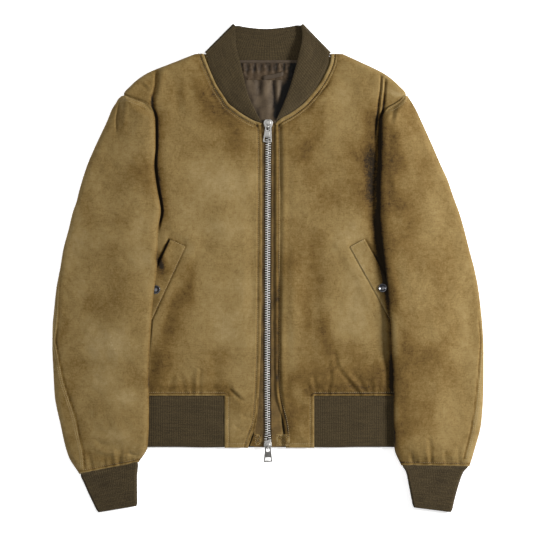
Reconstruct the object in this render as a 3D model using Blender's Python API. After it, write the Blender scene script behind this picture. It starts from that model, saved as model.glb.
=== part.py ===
"""A lined bomber jacket, zipped up and laid flat on its back.

The back panel rests on the floor at z = 0. +Y runs from the hem to the collar, +X is the
wearer's left, and the origin is under the middle of the jacket. Every cloth piece is a closed
wall of its own. Tables and heights are in millimetres, and the walls are made in metres.
"""

import math

import bmesh
import bpy
from mathutils import Matrix, Vector

MM = 0.001

# Heights of the layers above the floor.
BACK_TOP = 4.0
TRIM_LOW = 4.3
TRIM_TOP = 5.2
FRONT_LOW = 5.6
FRONT_TOP = 9.5
SEAM_GAP = 0.4
NECK_GAP = 1.5
NECK_EDGE_TOP = 7.4
NECK_EDGE_LOW = 4.5
RIM_DROP = 0.6

# Tops of a front's outermost columns of points: at the side, at the shoulder and at the zip.
SIDE_TOPS = (7.4, 8.7)
SHOULDER_TOPS = (6.5, 8.2)
ZIP_TOPS = (8.3, 8.8)
HEM_TOP = 8.9
HEM_FOLD_SHARE = 0.6
FOLD_UNDERSIDE_SHARE = 0.55

# Walls of the sleeves: cloth, wadding and lining together.
SLEEVE_WALL = 4.0
SLEEVE_PUFF = 2.0
SLEEVE_OVER_BODY = 9.9
SLEEVE_OVER_POCKET = 13.7
DRAPE_START = 4.0
DRAPE_RUN = 25.0
SHOULDER_SLOPE_WIDTH = 45.0
NARROW_LOFT = 0.35

# Heights in a sleeve by columns in from its edge: underside and top of the under wall, and top of
# the upper wall where the edge rounds over.
UNDER_LOWS = (1.3, 0.3, 0.0)
UNDER_TOPS = (3.1, 3.7, SLEEVE_WALL)
UPPER_TOPS = (6.2, 7.9)

# Rib knit.
RIB_WALL = 3.0
RIB_PITCH = 4.5
RIB_HEIGHT = 0.5
WAISTBAND_RIBS = 28
WAISTBAND_TOP = -205.0
WAISTBAND_FOOT = -287.0
WAISTBAND_HEIGHT = 8.0
CUFF_HEIGHT = 9.0
COLLAR_HEIGHT = 8.6
COLLAR_RISE = 3.4

# Front panels and the cloth beside the zip at the hem.
BLOCK_EDGE = {"right": 69.6, "left": 74.0}
FRONT_HEM = -204.6
POCKET_LENGTH = 167.0
POCKET_WIDTH = 27.5
WELT_THICKNESS = 1.8

# Zip.
TAPE_WIDTH = 22.0
CHAIN_WIDTH = 8.2
CHAIN_LOW = 5.5
CHAIN_TOP = 8.0
SLIDER_WIDTH = 15.0
SLIDER_LENGTH = 13.0
SLIDER_PLATE = 1.6
PLATE_PAST_HINGE = 1.2
BRIDGE_INNER = 1.7
BRIDGE_BAR = 0.9
PULL_LENGTH = 26.0
PULL_THICKNESS = 1.4
SNAP_RADIUS = 7.3
SNAP_THICKNESS = 1.3

SIDES = {"right": -1.0, "left": 1.0}


def table(columns, *rows):
    """Rows of numbers as dictionaries, keyed by the column names."""
    names = columns.split()
    return [dict(zip(names, row)) for row in rows]


# The front panels: how far each one's edges are from the centre line, from collar to hem.
# outer is the shoulder line, then the armhole, then the side. inner is the neckline, then the zip.
FRONT_ROWS = table(
    "y  outer_right  inner_right  outer_left  inner_left",
    (343, 117, 101.5, 120, 100),
    (333, 142, 98, 142, 99),
    (309, 199, 88.2, 190, 89.6),
    (293, 219, 80.9, 209, 80),
    (278, 231, 71.3, 221, 68.5),
    (271, 217, 66.7, 218, 62.5),
    (264, 198, 62.4, 209, 56),
    (256, 193, 52.6, 196, 46),
    (247, 191, 40.3, 190, 33),
    (241, 190, 30.5, 189, 21.7),
    (236, 190, 21, 188.5, 15),
    (232, 189.5, 10.8, 188.5, 12.2),
    (195, 190, 9.3, 189, 12),
    (165, 193, 9.3, 191, 12),
    (141, 205, 9.3, 203, 12),
    (122, 232, 9.3, 231, 12),
    (104, 262, 9.3, 262, 12),
    (92, 278, 9.4, 279, 12),
    (60, 277, 9.6, 277, 12),
    (30, 274, 9.8, 274, 12),
    (0, 270, 10, 270, 12),
    (-32, 266, 10.2, 266, 12),
    (-64, 262, 10.4, 261, 12.2),
    (-96, 257, 11, 257, 13.5),
    (-128, 252, 11.5, 252, 17),
    (-155, 248, 12.5, 248, 21),
    (-180, 245, 13.3, 244, 23),
    (FRONT_HEM, 241.5, 14.6, 241, 24.7),
    (-226, 241, 16, 240, 26),
    (-246, 240, 18, 240, 27.3),
    (-268, 240, 25.5, 240, 28.3),
    (-288, 240, 32, 240, 28.5),
)

# Heights at which the back panel has rows of points, and where it ends beside the collar.
BACK_HEIGHTS = (343, 333, 293, 278, 264, 232, 195, 141, 122, 104, 92, 30, -32, -155, FRONT_HEM)
BACK_NECK = {"right": -79.0, "left": 79.0}
BACK_NECK_POINT = {"right": -103.0, "left": 102.5}
BACK_NECK_MARGIN = 20.0

# The sleeves from the shoulder point to the cuff: the fold that lies on the body, and the outer
# edge, from the centre line. drop is how much lower a row ends at its outer edge.
SLEEVE_ROWS = {
    "right": table(
        "y  drop  inner  outer",
        (276, 0, 227, 234.5),
        (271, 0, 213, 240),
        (264, 0, 193, 244),
        (256, 0, 186, 249.3),
        (236, 0, 180.5, 257.6),
        (195, 0, 180, 276.8),
        (165, 0, 182, 289.6),
        (141, 0, 179.5, 297.6),
        (122, 0, 176.5, 303),
        (104, 0, 173, 307.5),
        (92, 0, 171.5, 312),
        (60, 0, 176, 320),
        (30, 0, 176.5, 328),
        (0, 0, 177, 333),
        (-32, 0, 181.6, 339),
        (-64, 0, 184.8, 342.5),
        (-96, 0, 187, 345.3),
        (-128, 0, 189, 345.6),
        (-165, 0, 190.2, 344),
        (FRONT_HEM, 0, 190.2, 341.8),
        (-246, 5, 190.4, 332.5),
        (-287, 14, 193, 320),
        (-311, 19.4, 207, 302),
    ),
    "left": table(
        "y  drop  inner  outer",
        (276, 0, 217.5, 224),
        (271, 0, 214, 227),
        (264, 0, 205, 231.5),
        (256, 0, 191, 236),
        (236, 0, 181.5, 245.5),
        (195, 0, 181, 264),
        (165, 0, 180.5, 277),
        (141, 0, 179, 288),
        (122, 0, 178.7, 294.5),
        (104, 0, 178.7, 301),
        (92, 0, 178.7, 305.5),
        (60, 0, 181, 315),
        (30, 0, 184, 322.5),
        (0, 0, 187.7, 330.5),
        (-32, 0, 191, 337),
        (-64, 0, 193.5, 341),
        (-96, 0, 196.5, 344),
        (-128, 0, 198, 345.6),
        (-165, 0, 199.8, 345.6),
        (FRONT_HEM, 0, 200.8, 345),
        (-246, 2, 201.3, 342),
        (-288, 4, 202.3, 331),
        (-316.4, 1.5, 213.5, 323),
    ),
}

# How high the sleeve's underside lies over the body, down its length.
SLEEVE_LAY = table(
    "y  height",
    (276, 7.8),
    (271, 8.7),
    (264, 9.5),
    (256, SLEEVE_OVER_BODY),
    (60, SLEEVE_OVER_BODY),
    (30, SLEEVE_OVER_POCKET),
    (-128, SLEEVE_OVER_POCKET),
    (-165, SLEEVE_OVER_BODY),
    (-290, SLEEVE_OVER_BODY),
)

# Each cuff from its seam to its end: the side nearer the body, then the outer side.
CUFF_ROWS = {
    "right": table(
        "inner_x  inner_y  outer_x  outer_y",
        (207.2, -311.8, 301.6, -331.2),
        (208.8, -325, 294, -347),
        (209.6, -340, 286.4, -364),
        (209.2, -381, 273, -391.7),
    ),
    "left": table(
        "inner_x  inner_y  outer_x  outer_y",
        (214.2, -317.2, 322, -318.7),
        (221, -327, 313, -328),
        (226, -351, 303.5, -355),
        (232.4, -383.4, 294.4, -391.4),
    ),
}

# The collar's two long edges: the seam on the neckline and the folded upper edge.
# The strip runs from the zip, over the shoulder fold, and across the back.
COLLAR_FRONT = {
    "right": {
        "seam": ((101.5, 346), (95, 324), (80, 291), (62, 264), (39, 246), (18, 235), (10.5, 232.8)),
        "edge": ((56, 391.7), (51, 356), (43.5, 326), (34, 285), (26, 264), (17, 246), (11.5, 235.5)),
    },
    "left": {
        "seam": ((101, 345.5), (98, 327), (77, 288), (60, 268), (40, 251), (18, 239), (13.6, 235.8)),
        "edge": ((56, 391.7), (56.5, 372), (48, 336), (38, 300), (32, 282), (23.7, 261), (14, 238.8)),
    },
}
COLLAR_BACK_SEAM = ((-101.5, 346), (-72, 335), (0, 333.6), (72, 335), (101, 345.5))
COLLAR_BACK_EDGE = ((-56, 391.7), (-37, 386.5), (-3, 383.5), (35, 387), (56, 391.7))
COLLAR_LIFT = {"right": 0.0, "left": 1.6}

# The largest folds of the fronts and upper sleeves: where each ridge starts and ends, its
# half width and its height. Distances are from the centre line.
FRONT_FOLDS = {
    "right": table(
        "x0  y0  x1  y1  width  height",
        (172, 322, 178, 284, 8, 1.6),
        (62, -150, 46, -212, 9, 1.5),
        (112, -160, 112, -206, 8, 1.4),
        (130, -168, 133, -206, 7, 1.6),
        (152, -172, 150, -206, 7, 1.2),
        (84, -172, 82, -206, 8, 1.2),
        (34, -206, 52, -236, 8, 1.3),
        (60, 180, 84, 40, 22, 1.2),
        (120, 210, 100, -60, 26, 1.2),
        (36, 100, 40, -120, 16, 1.0),
    ),
    "left": table(
        "x0  y0  x1  y1  width  height",
        (173, 330, 180, 286, 7, 1.6),
        (186, 322, 190, 290, 6, 1.4),
        (38, -90, 40, -240, 12, 1.9),
        (108, -100, 106, -200, 12, 1.4),
        (112, -164, 150, -202, 7, 1.9),
        (84, -170, 84, -206, 7, 1.5),
        (64, -176, 66, -206, 6, 1.3),
        (172, -176, 168, -206, 7, 1.3),
        (52, 190, 60, 20, 22, 1.2),
        (118, 80, 128, -80, 24, 1.4),
        (60, -212, 52, -250, 9, 1.0),
    ),
}
SLEEVE_FOLDS = {
    "right": table(
        "x0  y0  x1  y1  width  height",
        (262, 150, 290, 20, 15, 1.3),
        (222, 190, 226, 60, 14, 1.2),
        (212, 10, 232, -110, 15, 1.4),
        (322, 0, 322, -150, 13, 1.4),
        (270, -60, 262, -220, 15, 1.4),
        (216, -180, 222, -290, 10, 1.3),
        (292, -232, 282, -308, 9, 1.5),
        (252, -262, 250, -306, 8, 1.5),
        (270, -280, 268, -314, 6, 1.4),
        (232, -284, 230, -312, 6, 1.3),
    ),
    "left": table(
        "x0  y0  x1  y1  width  height",
        (246, 160, 278, 20, 15, 1.3),
        (214, 210, 216, 60, 13, 1.2),
        (220, 20, 236, -120, 15, 1.4),
        (326, 10, 330, -150, 12, 1.4),
        (280, -60, 276, -220, 15, 1.4),
        (226, -190, 234, -290, 10, 1.3),
        (308, -232, 300, -304, 9, 1.5),
        (262, -262, 264, -306, 8, 1.5),
        (284, -276, 282, -308, 6, 1.4),
        (244, -282, 246, -308, 6, 1.3),
    ),
}

# Pocket welts: upper corner of the stitched long edge, and the direction that the welt runs in.
WELTS = {
    "right": {"corner": (131, 35), "run": (70, -151)},
    "left": {"corner": (130, 34), "run": (81, -146)},
}

# Zip pulls: the height of the hinge along the chain, the turn in plan and the resting tilt.
ZIP_FITTINGS = table(
    "name  y  turn  tilt  facing",
    ("top", 226.0, -3.5, 5.2, 1.0),
    ("bottom", -287.6, 1.0, 22.5, -1.0),
)
ZIP_LINE = table("y  x", (240, 0.4), (60, -0.4), (-175, -1.2), (-300, -0.2))

# Ridges of the gathered neck facing and of the lining below it.
FACING_FOLDS = table(
    "x0  y0  x1  y1  width  height",
    (-34, 328, -32, 300, 3.5, 0.9),
    (-18, 328, -20, 300, 3.5, 0.9),
    (-6, 328, -5, 300, 3.5, 0.9),
    (8, 328, 9, 300, 3.5, 0.9),
    (20, 328, 19, 300, 3.5, 0.9),
    (34, 328, 36, 300, 3.5, 0.9),
)
LINING_FOLDS = table(
    "x0  y0  x1  y1  width  height",
    (-16, 304, -12, 250, 7, 1.5),
    (2, 304, 6, 246, 5, 1.5),
    (20, 304, 14, 262, 5, 1.4),
    (-32, 304, -24, 276, 5, 1.0),
)

MATERIALS = {
    "shell": {"color": (0.262, 0.181, 0.065, 1.0), "roughness": 0.82, "metallic": 0.0},
    "rib": {"color": (0.065, 0.048, 0.023, 1.0), "roughness": 0.92, "metallic": 0.0},
    "lining": {"color": (0.162, 0.122, 0.085, 1.0), "roughness": 0.5, "metallic": 0.0},
    "zip_cloth": {"color": (0.13, 0.088, 0.032, 1.0), "roughness": 0.9, "metallic": 0.0},
    "zip_metal": {"color": (0.62, 0.60, 0.57, 1.0), "roughness": 0.28, "metallic": 1.0},
    "snap_metal": {"color": (0.12, 0.11, 0.10, 1.0), "roughness": 0.35, "metallic": 1.0},
}


# ---------------------------------------------------------------------------
# Small helpers
# ---------------------------------------------------------------------------

def clear_scene():
    """Start from an empty scene."""
    for item in list(bpy.data.objects):
        bpy.data.objects.remove(item, do_unlink=True)


def mix(a, b, t):
    """The value a share t of the way from a to b."""
    return a + (b - a) * t


def ease(t):
    """0 to 1 with soft ends."""
    t = min(1.0, max(0.0, t))
    return t * t * (3.0 - 2.0 * t)


def read(rows, column, y):
    """A column's value at height y, in a table that runs from the collar down."""
    if y >= rows[0]["y"]:
        return rows[0][column]
    for above, below in zip(rows, rows[1:]):
        if y >= below["y"]:
            share = (above["y"] - y) / (above["y"] - below["y"])
            return mix(above[column], below[column], share)
    return rows[-1][column]


def evenly(start, end, count):
    """count values inside the span, without its two ends."""
    return [mix(start, end, (n + 1) / (count + 1)) for n in range(count)]


def along(points, count):
    """count + 1 points at even spacing along a smooth curve through the given ones."""
    guide = [Vector(p) for p in points]
    guide = [2 * guide[0] - guide[1]] + guide + [2 * guide[-1] - guide[-2]]
    fine = []
    for a, b, c, d in zip(guide, guide[1:], guide[2:], guide[3:]):
        for step in range(12):
            t = step / 12
            bend = (2 * b) + (c - a) * t + (2 * a - 5 * b + 4 * c - d) * t * t
            fine.append(0.5 * (bend + (3 * b - a - 3 * c + d) * t ** 3))
    fine.append(guide[-2])
    reach = [0.0]
    for a, b in zip(fine, fine[1:]):
        reach.append(reach[-1] + (b - a).length)
    result = []
    for n in range(count + 1):
        goal = reach[-1] * n / count
        k = max(i for i in range(len(fine) - 1) if reach[i] <= goal + 1e-9)
        share = (goal - reach[k]) / (reach[k + 1] - reach[k])
        result.append(fine[k].lerp(fine[k + 1], min(1.0, share)))
    return result


def ridges(folds, x, y):
    """Height that the folds add at a point: soft ridges that fade out at both ends."""
    height = 0.0
    for fold in folds:
        start = Vector((fold["x0"], fold["y0"]))
        run = Vector((fold["x1"], fold["y1"])) - start
        here = Vector((x, y)) - start
        share = here.dot(run) / run.length_squared
        across = abs(here.cross(run)) / run.length
        fade = ease(share * 4.0 + 1.0) * ease((1.0 - share) * 4.0 + 1.0)
        height = max(height, fold["height"] * fade * math.exp(-(across / fold["width"]) ** 2))
    return height


def material(name):
    """A Principled material from the table of finishes."""
    if name in bpy.data.materials:
        return bpy.data.materials[name]
    finish = MATERIALS[name]
    made = bpy.data.materials.new(name)
    made.use_nodes = True
    shader = made.node_tree.nodes["Principled BSDF"]
    shader.inputs["Base Color"].default_value = finish["color"]
    shader.inputs["Roughness"].default_value = finish["roughness"]
    shader.inputs["Metallic"].default_value = finish["metallic"]
    made.diffuse_color = finish["color"]
    return made


def collection(name):
    """A collection in the scene, made when it is first asked for."""
    if name not in bpy.data.collections:
        made = bpy.data.collections.new(name)
        bpy.context.scene.collection.children.link(made)
    return bpy.data.collections[name]


def place(name, mesh, finish):
    """Make the named object from a mesh, in the jacket's collection."""
    piece = bpy.data.objects.new(name, mesh)
    mesh.materials.clear()
    mesh.materials.append(material(finish))
    collection("bomber_jacket").objects.link(piece)
    return piece


def wall(name, outer, inner, finish, ring=False, present=None):
    """A closed wall of cloth between two skins with the same rows and columns of points.

    present(row, column) says whether a cell is cloth, so that an outline can have corners.
    """
    mesh = bmesh.new()
    skins = []
    for skin in (outer, inner):
        skins.append([[mesh.verts.new(Vector(p) * MM) for p in row] for row in skin])
    count = len(outer[0])
    cells = set()
    for i in range(len(outer) - 1):
        for j in range(count if ring else count - 1):
            if present is None or present(i, j):
                cells.add((i, j))
    for i, j in sorted(cells):
        k = (j + 1) % count
        corners = ((i, j), (i, k), (i + 1, k), (i + 1, j))
        beyond = ((i - 1, j), (i, k), (i + 1, j), (i, (j - 1) % count if ring else j - 1))
        for skin in skins:
            mesh.faces.new([skin[a][b] for a, b in corners])
        for n, neighbour in enumerate(beyond):
            if neighbour in cells:
                continue
            (a, b), (c, d) = corners[n], corners[(n + 1) % 4]
            mesh.faces.new((skins[0][a][b], skins[0][c][d], skins[1][c][d], skins[1][a][b]))
    loose = [v for v in mesh.verts if not v.link_faces]
    bmesh.ops.delete(mesh, geom=loose, context="VERTS")
    bmesh.ops.recalc_face_normals(mesh, faces=mesh.faces)
    data = bpy.data.meshes.new(name)
    mesh.to_mesh(data)
    mesh.free()
    data.shade_smooth()
    data.set_sharp_from_angle(angle=math.radians(50))
    return place(name, data, finish)


def panel(name, plan, finish, present=None):
    """A wall that lies flat: each point of the plan is x, y, underside and top."""
    top = [[(x, y, high) for x, y, low, high in row] for row in plan]
    under = [[(x, y, low) for x, y, low, high in row] for row in plan]
    return wall(name, top, under, finish, present=present)


# ---------------------------------------------------------------------------
# Body: back and fronts
# ---------------------------------------------------------------------------

def make_back():
    """The back panel, flat on the floor from the shoulders to the waistband."""
    horn = 2
    inside = 6
    plan = []
    for y in BACK_HEIGHTS:
        right = -read(FRONT_ROWS, "outer_right", y)
        left = read(FRONT_ROWS, "outer_left", y)
        neck_right = max(right + BACK_NECK_MARGIN, BACK_NECK["right"])
        neck_left = min(left - BACK_NECK_MARGIN, BACK_NECK["left"])
        if y == BACK_HEIGHTS[0]:
            neck_right = BACK_NECK_POINT["right"]
            neck_left = BACK_NECK_POINT["left"]
        across = [right] + evenly(right, neck_right, horn - 1) + [neck_right]
        across += evenly(neck_right, neck_left, inside)
        across += [neck_left] + evenly(neck_left, left, horn - 1) + [left]
        line = [(x, y, 0.0, BACK_TOP) for x in across]
        for end in (0, -1):
            line[end] = (across[end], y, RIM_DROP, BACK_TOP)
        plan.append(line)

    def present(i, j):
        return i > 0 or j < horn or j > horn + inside
    panel("back", plan, "shell", present)


def front_columns(side, row):
    """Where the front's columns of points stand, from the side to the centre."""
    outer = row["outer_" + side]
    inner = row["inner_" + side] + (NECK_GAP if row["y"] > 233 else 0.0)
    width = outer - inner
    rim = min(12.0, 0.2 * width)
    block = min(outer - rim - 0.3 * width, max(BLOCK_EDGE[side], inner + 0.32 * width))
    if row["y"] < -160:
        block = BLOCK_EDGE[side]
    columns = [outer, outer - rim / 3, outer - rim]
    columns += evenly(outer - rim, block, 5) + [block]
    columns += evenly(block, inner + rim, 2) + [inner + rim, inner + rim / 3, inner]
    return columns


def near_welt(side, x, y):
    """0 on the pocket welt and its rim, 1 away from it."""
    corner = Vector(WELTS[side]["corner"])
    run = Vector(WELTS[side]["run"]).normalized()
    across = Vector((-run.y, run.x))
    here = Vector((x, y)) - corner
    past_end = max(-here.dot(run), here.dot(run) - POCKET_LENGTH)
    past_side = max(-here.dot(across), here.dot(across) - POCKET_WIDTH)
    return ease((max(past_end, past_side) - 16.0) / 20.0)


def front_relief(side, x, y):
    """The folds of a front, kept off the pocket and off the cloth under the sleeve."""
    sleeve = read(SLEEVE_ROWS[side], "inner", y)
    clear = 1.0 if y > 282 else ease((sleeve - x - 14.0) / 18.0)
    return ridges(FRONT_FOLDS[side], x, y) * clear * near_welt(side, x, y)


def front_heights(side, row, n, count, x):
    """Underside and top of a front at a column."""
    y = row["y"]
    top = FRONT_TOP
    low = FRONT_LOW
    if n < 2:
        top = (SHOULDER_TOPS if y > 272 else SIDE_TOPS)[n]
    elif n > count - 3:
        top = ZIP_TOPS[count - 1 - n]
    if n == 0:
        low = NECK_EDGE_LOW
    if row is FRONT_ROWS[0]:
        top = min(top, NECK_EDGE_TOP)
        low = NECK_EDGE_LOW
    fold = 0.0 if n in (0, 1, count - 1) else front_relief(side, x, y)
    if y == FRONT_HEM or row is FRONT_ROWS[-1]:
        fold *= HEM_FOLD_SHARE
        top = min(top, HEM_TOP)
    return low + FOLD_UNDERSIDE_SHARE * fold, top + fold


def make_front(side):
    """A front panel, from the shoulder to the seam of the waistband, and on down beside the zip."""
    plan = []
    hem_row = None
    for i, row in enumerate(FRONT_ROWS):
        if row["y"] == FRONT_HEM:
            hem_row = i
        columns = front_columns(side, row)
        line = []
        for n, x in enumerate(columns):
            low, high = front_heights(side, row, n, len(columns), x)
            line.append((SIDES[side] * x, row["y"], low, high))
        plan.append(line)
    block_column = 8

    def present(i, j):
        return i < hem_row or j >= block_column
    panel("front_" + side, plan, "shell", present)


# ---------------------------------------------------------------------------
# Sleeves
# ---------------------------------------------------------------------------

def sleeve_columns(row, body_edge):
    """Distances from the inner fold of the columns, and the two that bound the drape."""
    width = row["outer"] - row["inner"]
    start = max(4.0, body_edge - row["inner"] - DRAPE_START)
    end = start + DRAPE_START + DRAPE_RUN
    rim = min(9.0, 0.25 * width)
    end = min(end, width - rim - 2.0)
    if end < start + 1.0:
        start = 0.35 * width
        end = 0.6 * width
    inner_rim = min(9.0, 0.6 * start)
    spots = [0.0, inner_rim / 3, inner_rim] + evenly(inner_rim, start, 1) + [start]
    spots += evenly(start, end, 1) + [end] + evenly(end, width - rim, 1)
    spots += [width - rim, width - rim / 3, width]
    return spots, start


def sleeve_lines(side):
    """Rows of sleeve points: x, y, and the four heights of the under and upper walls."""
    rows = SLEEVE_ROWS[side]
    lines = []
    for row in rows:
        y = row["y"]
        body_edge = read(FRONT_ROWS, "outer_" + side, y)
        spots, start = sleeve_columns(row, body_edge)
        width = spots[-1]
        lay = 0.0 if row is rows[-1] else read(SLEEVE_LAY, "height", y)
        loft = mix(NARROW_LOFT, 1.0, min(1.0, width / SHOULDER_SLOPE_WIDTH))
        line = []
        for n, spot in enumerate(spots):
            x = row["inner"] + spot
            down = y - row["drop"] * spot / width
            drape = min(1.0, max(0.0, (spot - start) / (DRAPE_START + DRAPE_RUN)))
            base = lay * (1.0 - drape)
            from_rim = min(n, len(spots) - 1 - n)
            fold = ridges(SLEEVE_FOLDS[side], x, down)
            under_low = UNDER_LOWS[min(from_rim, 2)]
            under_high = UNDER_TOPS[min(from_rim, 2)]
            upper_low = under_high + SEAM_GAP
            if from_rim > 1:
                puff = SLEEVE_PUFF * math.sin(math.pi * spot / width) ** 0.7
                upper_low += puff + FOLD_UNDERSIDE_SHARE * fold
                upper_high = 2 * SLEEVE_WALL + SEAM_GAP + puff + fold
            else:
                upper_high = UPPER_TOPS[from_rim]
            heights = [base + loft * h for h in (under_low, under_high, upper_low, upper_high)]
            line.append((SIDES[side] * x, down, heights))
        lines.append(line)
    return lines


def make_sleeve(side):
    """A two-piece sleeve, pressed flat: its under wall drapes over the body and down to the floor."""
    lines = sleeve_lines(side)
    under = [[(x, y, h[0], h[1]) for x, y, h in line] for line in lines]
    upper = [[(x, y, h[2], h[3]) for x, y, h in line] for line in lines]
    panel("sleeve_under_" + side, under, "shell")
    panel("sleeve_upper_" + side, upper, "shell")


# ---------------------------------------------------------------------------
# Rib knit: cuffs, waistband and collar
# ---------------------------------------------------------------------------

def turn_points(centre, away, outer_radius, inner_radius, steps):
    """Points of a strip that turns over, from facing up to facing down, at a side fold."""
    points = []
    for n in range(1, steps):
        angle = math.pi * n / steps
        way = Vector((away[0] * math.sin(angle), away[1] * math.sin(angle), math.cos(angle)))
        points.append((Vector(centre) + way * outer_radius, Vector(centre) + way * inner_radius))
    return points


def make_cuff(side):
    """A cuff: a tube of rib pressed flat, with ribs raised on the side that shows."""
    sign = SIDES[side]
    radius = CUFF_HEIGHT / 2
    ribs = round((CUFF_ROWS[side][0]["outer_x"] - CUFF_ROWS[side][0]["inner_x"]) / RIB_PITCH)
    outer = []
    inner = []
    for row in CUFF_ROWS[side]:
        near = Vector((sign * row["inner_x"], row["inner_y"], radius))
        far = Vector((sign * row["outer_x"], row["outer_y"], radius))
        away = (far - near).normalized()
        near += away * radius
        far -= away * radius
        up = Vector((0, 0, 1))
        ring = []
        for n in range(2 * ribs + 1):
            spot = near.lerp(far, n / (2 * ribs))
            rib = RIB_HEIGHT * (n % 2)
            ring.append((spot + up * (radius + rib), spot + up * (radius - RIB_WALL)))
        ring += turn_points(far, away, radius, radius - RIB_WALL, 4)
        for n in range(5):
            spot = far.lerp(near, n / 4)
            ring.append((spot - up * radius, spot - up * (radius - RIB_WALL)))
        ring += turn_points(near, -away, radius, radius - RIB_WALL, 4)[::-1]
        outer.append([pair[0] for pair in ring])
        inner.append([pair[1] for pair in ring])
    wall("cuff_" + side, outer, inner, "rib", ring=True)


def make_waistband():
    """The rib waistband: one strip from front panel to front panel, round the back."""
    radius = WAISTBAND_HEIGHT / 2
    outer = []
    inner = []
    for y in (WAISTBAND_TOP, -246.0, WAISTBAND_FOOT):
        line = []
        for side in ("right", "left"):
            sign = SIDES[side]
            start = BLOCK_EDGE[side] + SEAM_GAP
            shown = start + RIB_PITCH * WAISTBAND_RIBS
            edge = read(FRONT_ROWS, "outer_" + side, y) - radius
            front = []
            for n in range(2 * WAISTBAND_RIBS + 1):
                share = n / (2 * WAISTBAND_RIBS)
                front.append((mix(start, shown, share), RIB_HEIGHT * (n % 2)))
            front += [(x, 0.0) for x in evenly(shown, edge, 1) + [edge]]
            half = []
            for x, rib in front:
                up = Vector((sign * x, y, WAISTBAND_HEIGHT + rib))
                half.append((up, Vector((sign * x, y, WAISTBAND_HEIGHT - RIB_WALL))))
            centre = (sign * edge, y, radius)
            half += turn_points(centre, (sign, 0), radius, radius - RIB_WALL, 4)
            for n in range(4):
                x = sign * edge * (1.0 - n / 4)
                half.append((Vector((x, y, 0)), Vector((x, y, RIB_WALL))))
            line += half if side == "right" else [(Vector((0, y, 0)), Vector((0, y, RIB_WALL)))]
            if side == "left":
                line += half[::-1]
        outer.append([pair[0] for pair in line])
        inner.append([pair[1] for pair in line])
    wall("hem_rib", outer, inner, "rib")


def collar_front(side, shares):
    """Strip of the collar from the zip to the shoulder fold, as rows of outer and inner points."""
    sign = SIDES[side]
    ribs = 32
    radius = COLLAR_HEIGHT / 2
    seam = along([(x, y, 0) for x, y in COLLAR_FRONT[side]["seam"]], 2 * ribs)[::-1]
    edge = along([(x, y, 0) for x, y in COLLAR_FRONT[side]["edge"]], 2 * ribs)[::-1]
    away = fold_direction(side)
    strips = []
    for share in shares:
        line = []
        for n in range(2 * ribs + 1):
            spot = seam[n].lerp(edge[n], share)
            spot.x *= sign
            to_fold = n / (2 * ribs)
            spot -= away * radius * ease(to_fold * 4.0 - 3.0)
            width = (edge[n] - seam[n]).length
            rise = (COLLAR_RISE + COLLAR_LIFT[side]) * math.sin(math.pi * 0.62 * share) * 1.05
            rise *= ease((1.0 - to_fold) * 3.0) * min(1.0, width / 20.0)
            rib = RIB_HEIGHT * (n % 2) * min(1.0, width / 10.0)
            low = COLLAR_HEIGHT - RIB_WALL + rise
            line.append((Vector((spot.x, spot.y, low + RIB_WALL + rib)),
                         Vector((spot.x, spot.y, low))))
        strips.append(line)
    return strips


def fold_direction(side):
    """Outward direction in plan, square to the collar's shoulder fold."""
    seam = COLLAR_FRONT[side]["seam"][0]
    edge = COLLAR_FRONT[side]["edge"][0]
    run = Vector((edge[0] - seam[0], edge[1] - seam[1], 0)).normalized()
    return Vector((SIDES[side] * run.y, -run.x, 0))


def make_collar():
    """The rib collar: one strip folded over at both shoulders, its back on the floor."""
    radius = COLLAR_HEIGHT / 2
    shares = (0.0, 0.5, 1.0)
    ribs = 40
    right = collar_front("right", shares)
    left = collar_front("left", shares)
    seam = along([(x, y, 0) for x, y in COLLAR_BACK_SEAM], 2 * ribs)
    edge = along([(x, y, 0) for x, y in COLLAR_BACK_EDGE], 2 * ribs)
    outer = []
    inner = []
    for row, share in enumerate(shares):
        line = list(right[row])
        back = []
        for n in range(2 * ribs + 1):
            spot = seam[n].lerp(edge[n], share)
            to_side = n / (2 * ribs)
            spot -= fold_direction("right") * radius * ease(1.0 - to_side * 8.0)
            spot -= fold_direction("left") * radius * ease(to_side * 8.0 - 7.0)
            rib = RIB_HEIGHT * (n % 2) if 8 < n < 2 * ribs - 8 else 0.0
            back.append((Vector((spot.x, spot.y, 0)), Vector((spot.x, spot.y, RIB_WALL + rib))))
        for side, pair in (("right", back[0]), ("left", back[-1])):
            centre = (pair[0].x, pair[0].y, radius)
            turn = turn_points(centre, fold_direction(side), radius, radius - RIB_WALL, 4)
            if side == "right":
                line += turn + back
            else:
                line += turn[::-1]
        line += left[row][::-1]
        outer.append([pair[0] for pair in line])
        inner.append([pair[1] for pair in line])
    wall("collar", outer, inner, "rib")


# ---------------------------------------------------------------------------
# Pockets
# ---------------------------------------------------------------------------

def welt_point(side, down, across):
    """A point of the pocket welt in plan, from its upper stitched corner."""
    run = Vector(WELTS[side]["run"]).normalized()
    square = Vector((-run.y, run.x))
    spot = Vector(WELTS[side]["corner"]) + run * down + square * across
    return SIDES[side] * spot.x, spot.y


def make_welt(side):
    """A pocket welt: a folded strip that lies on the front, over a slanted opening."""
    low = FRONT_TOP + 0.3
    plan = []
    for n in range(8):
        down = POCKET_LENGTH * n / 7
        line = []
        for across, sink in ((0, 0.6), (2, 0.0), (POCKET_WIDTH - 2, 0.0), (POCKET_WIDTH, 0.6)):
            x, y = welt_point(side, down, across)
            end = 0.5 if n in (0, 7) else 0.0
            line.append((x, y, low, low + WELT_THICKNESS - max(sink, end)))
        plan.append(line)
    panel("pocket_welt_" + side, plan, "shell")


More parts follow.
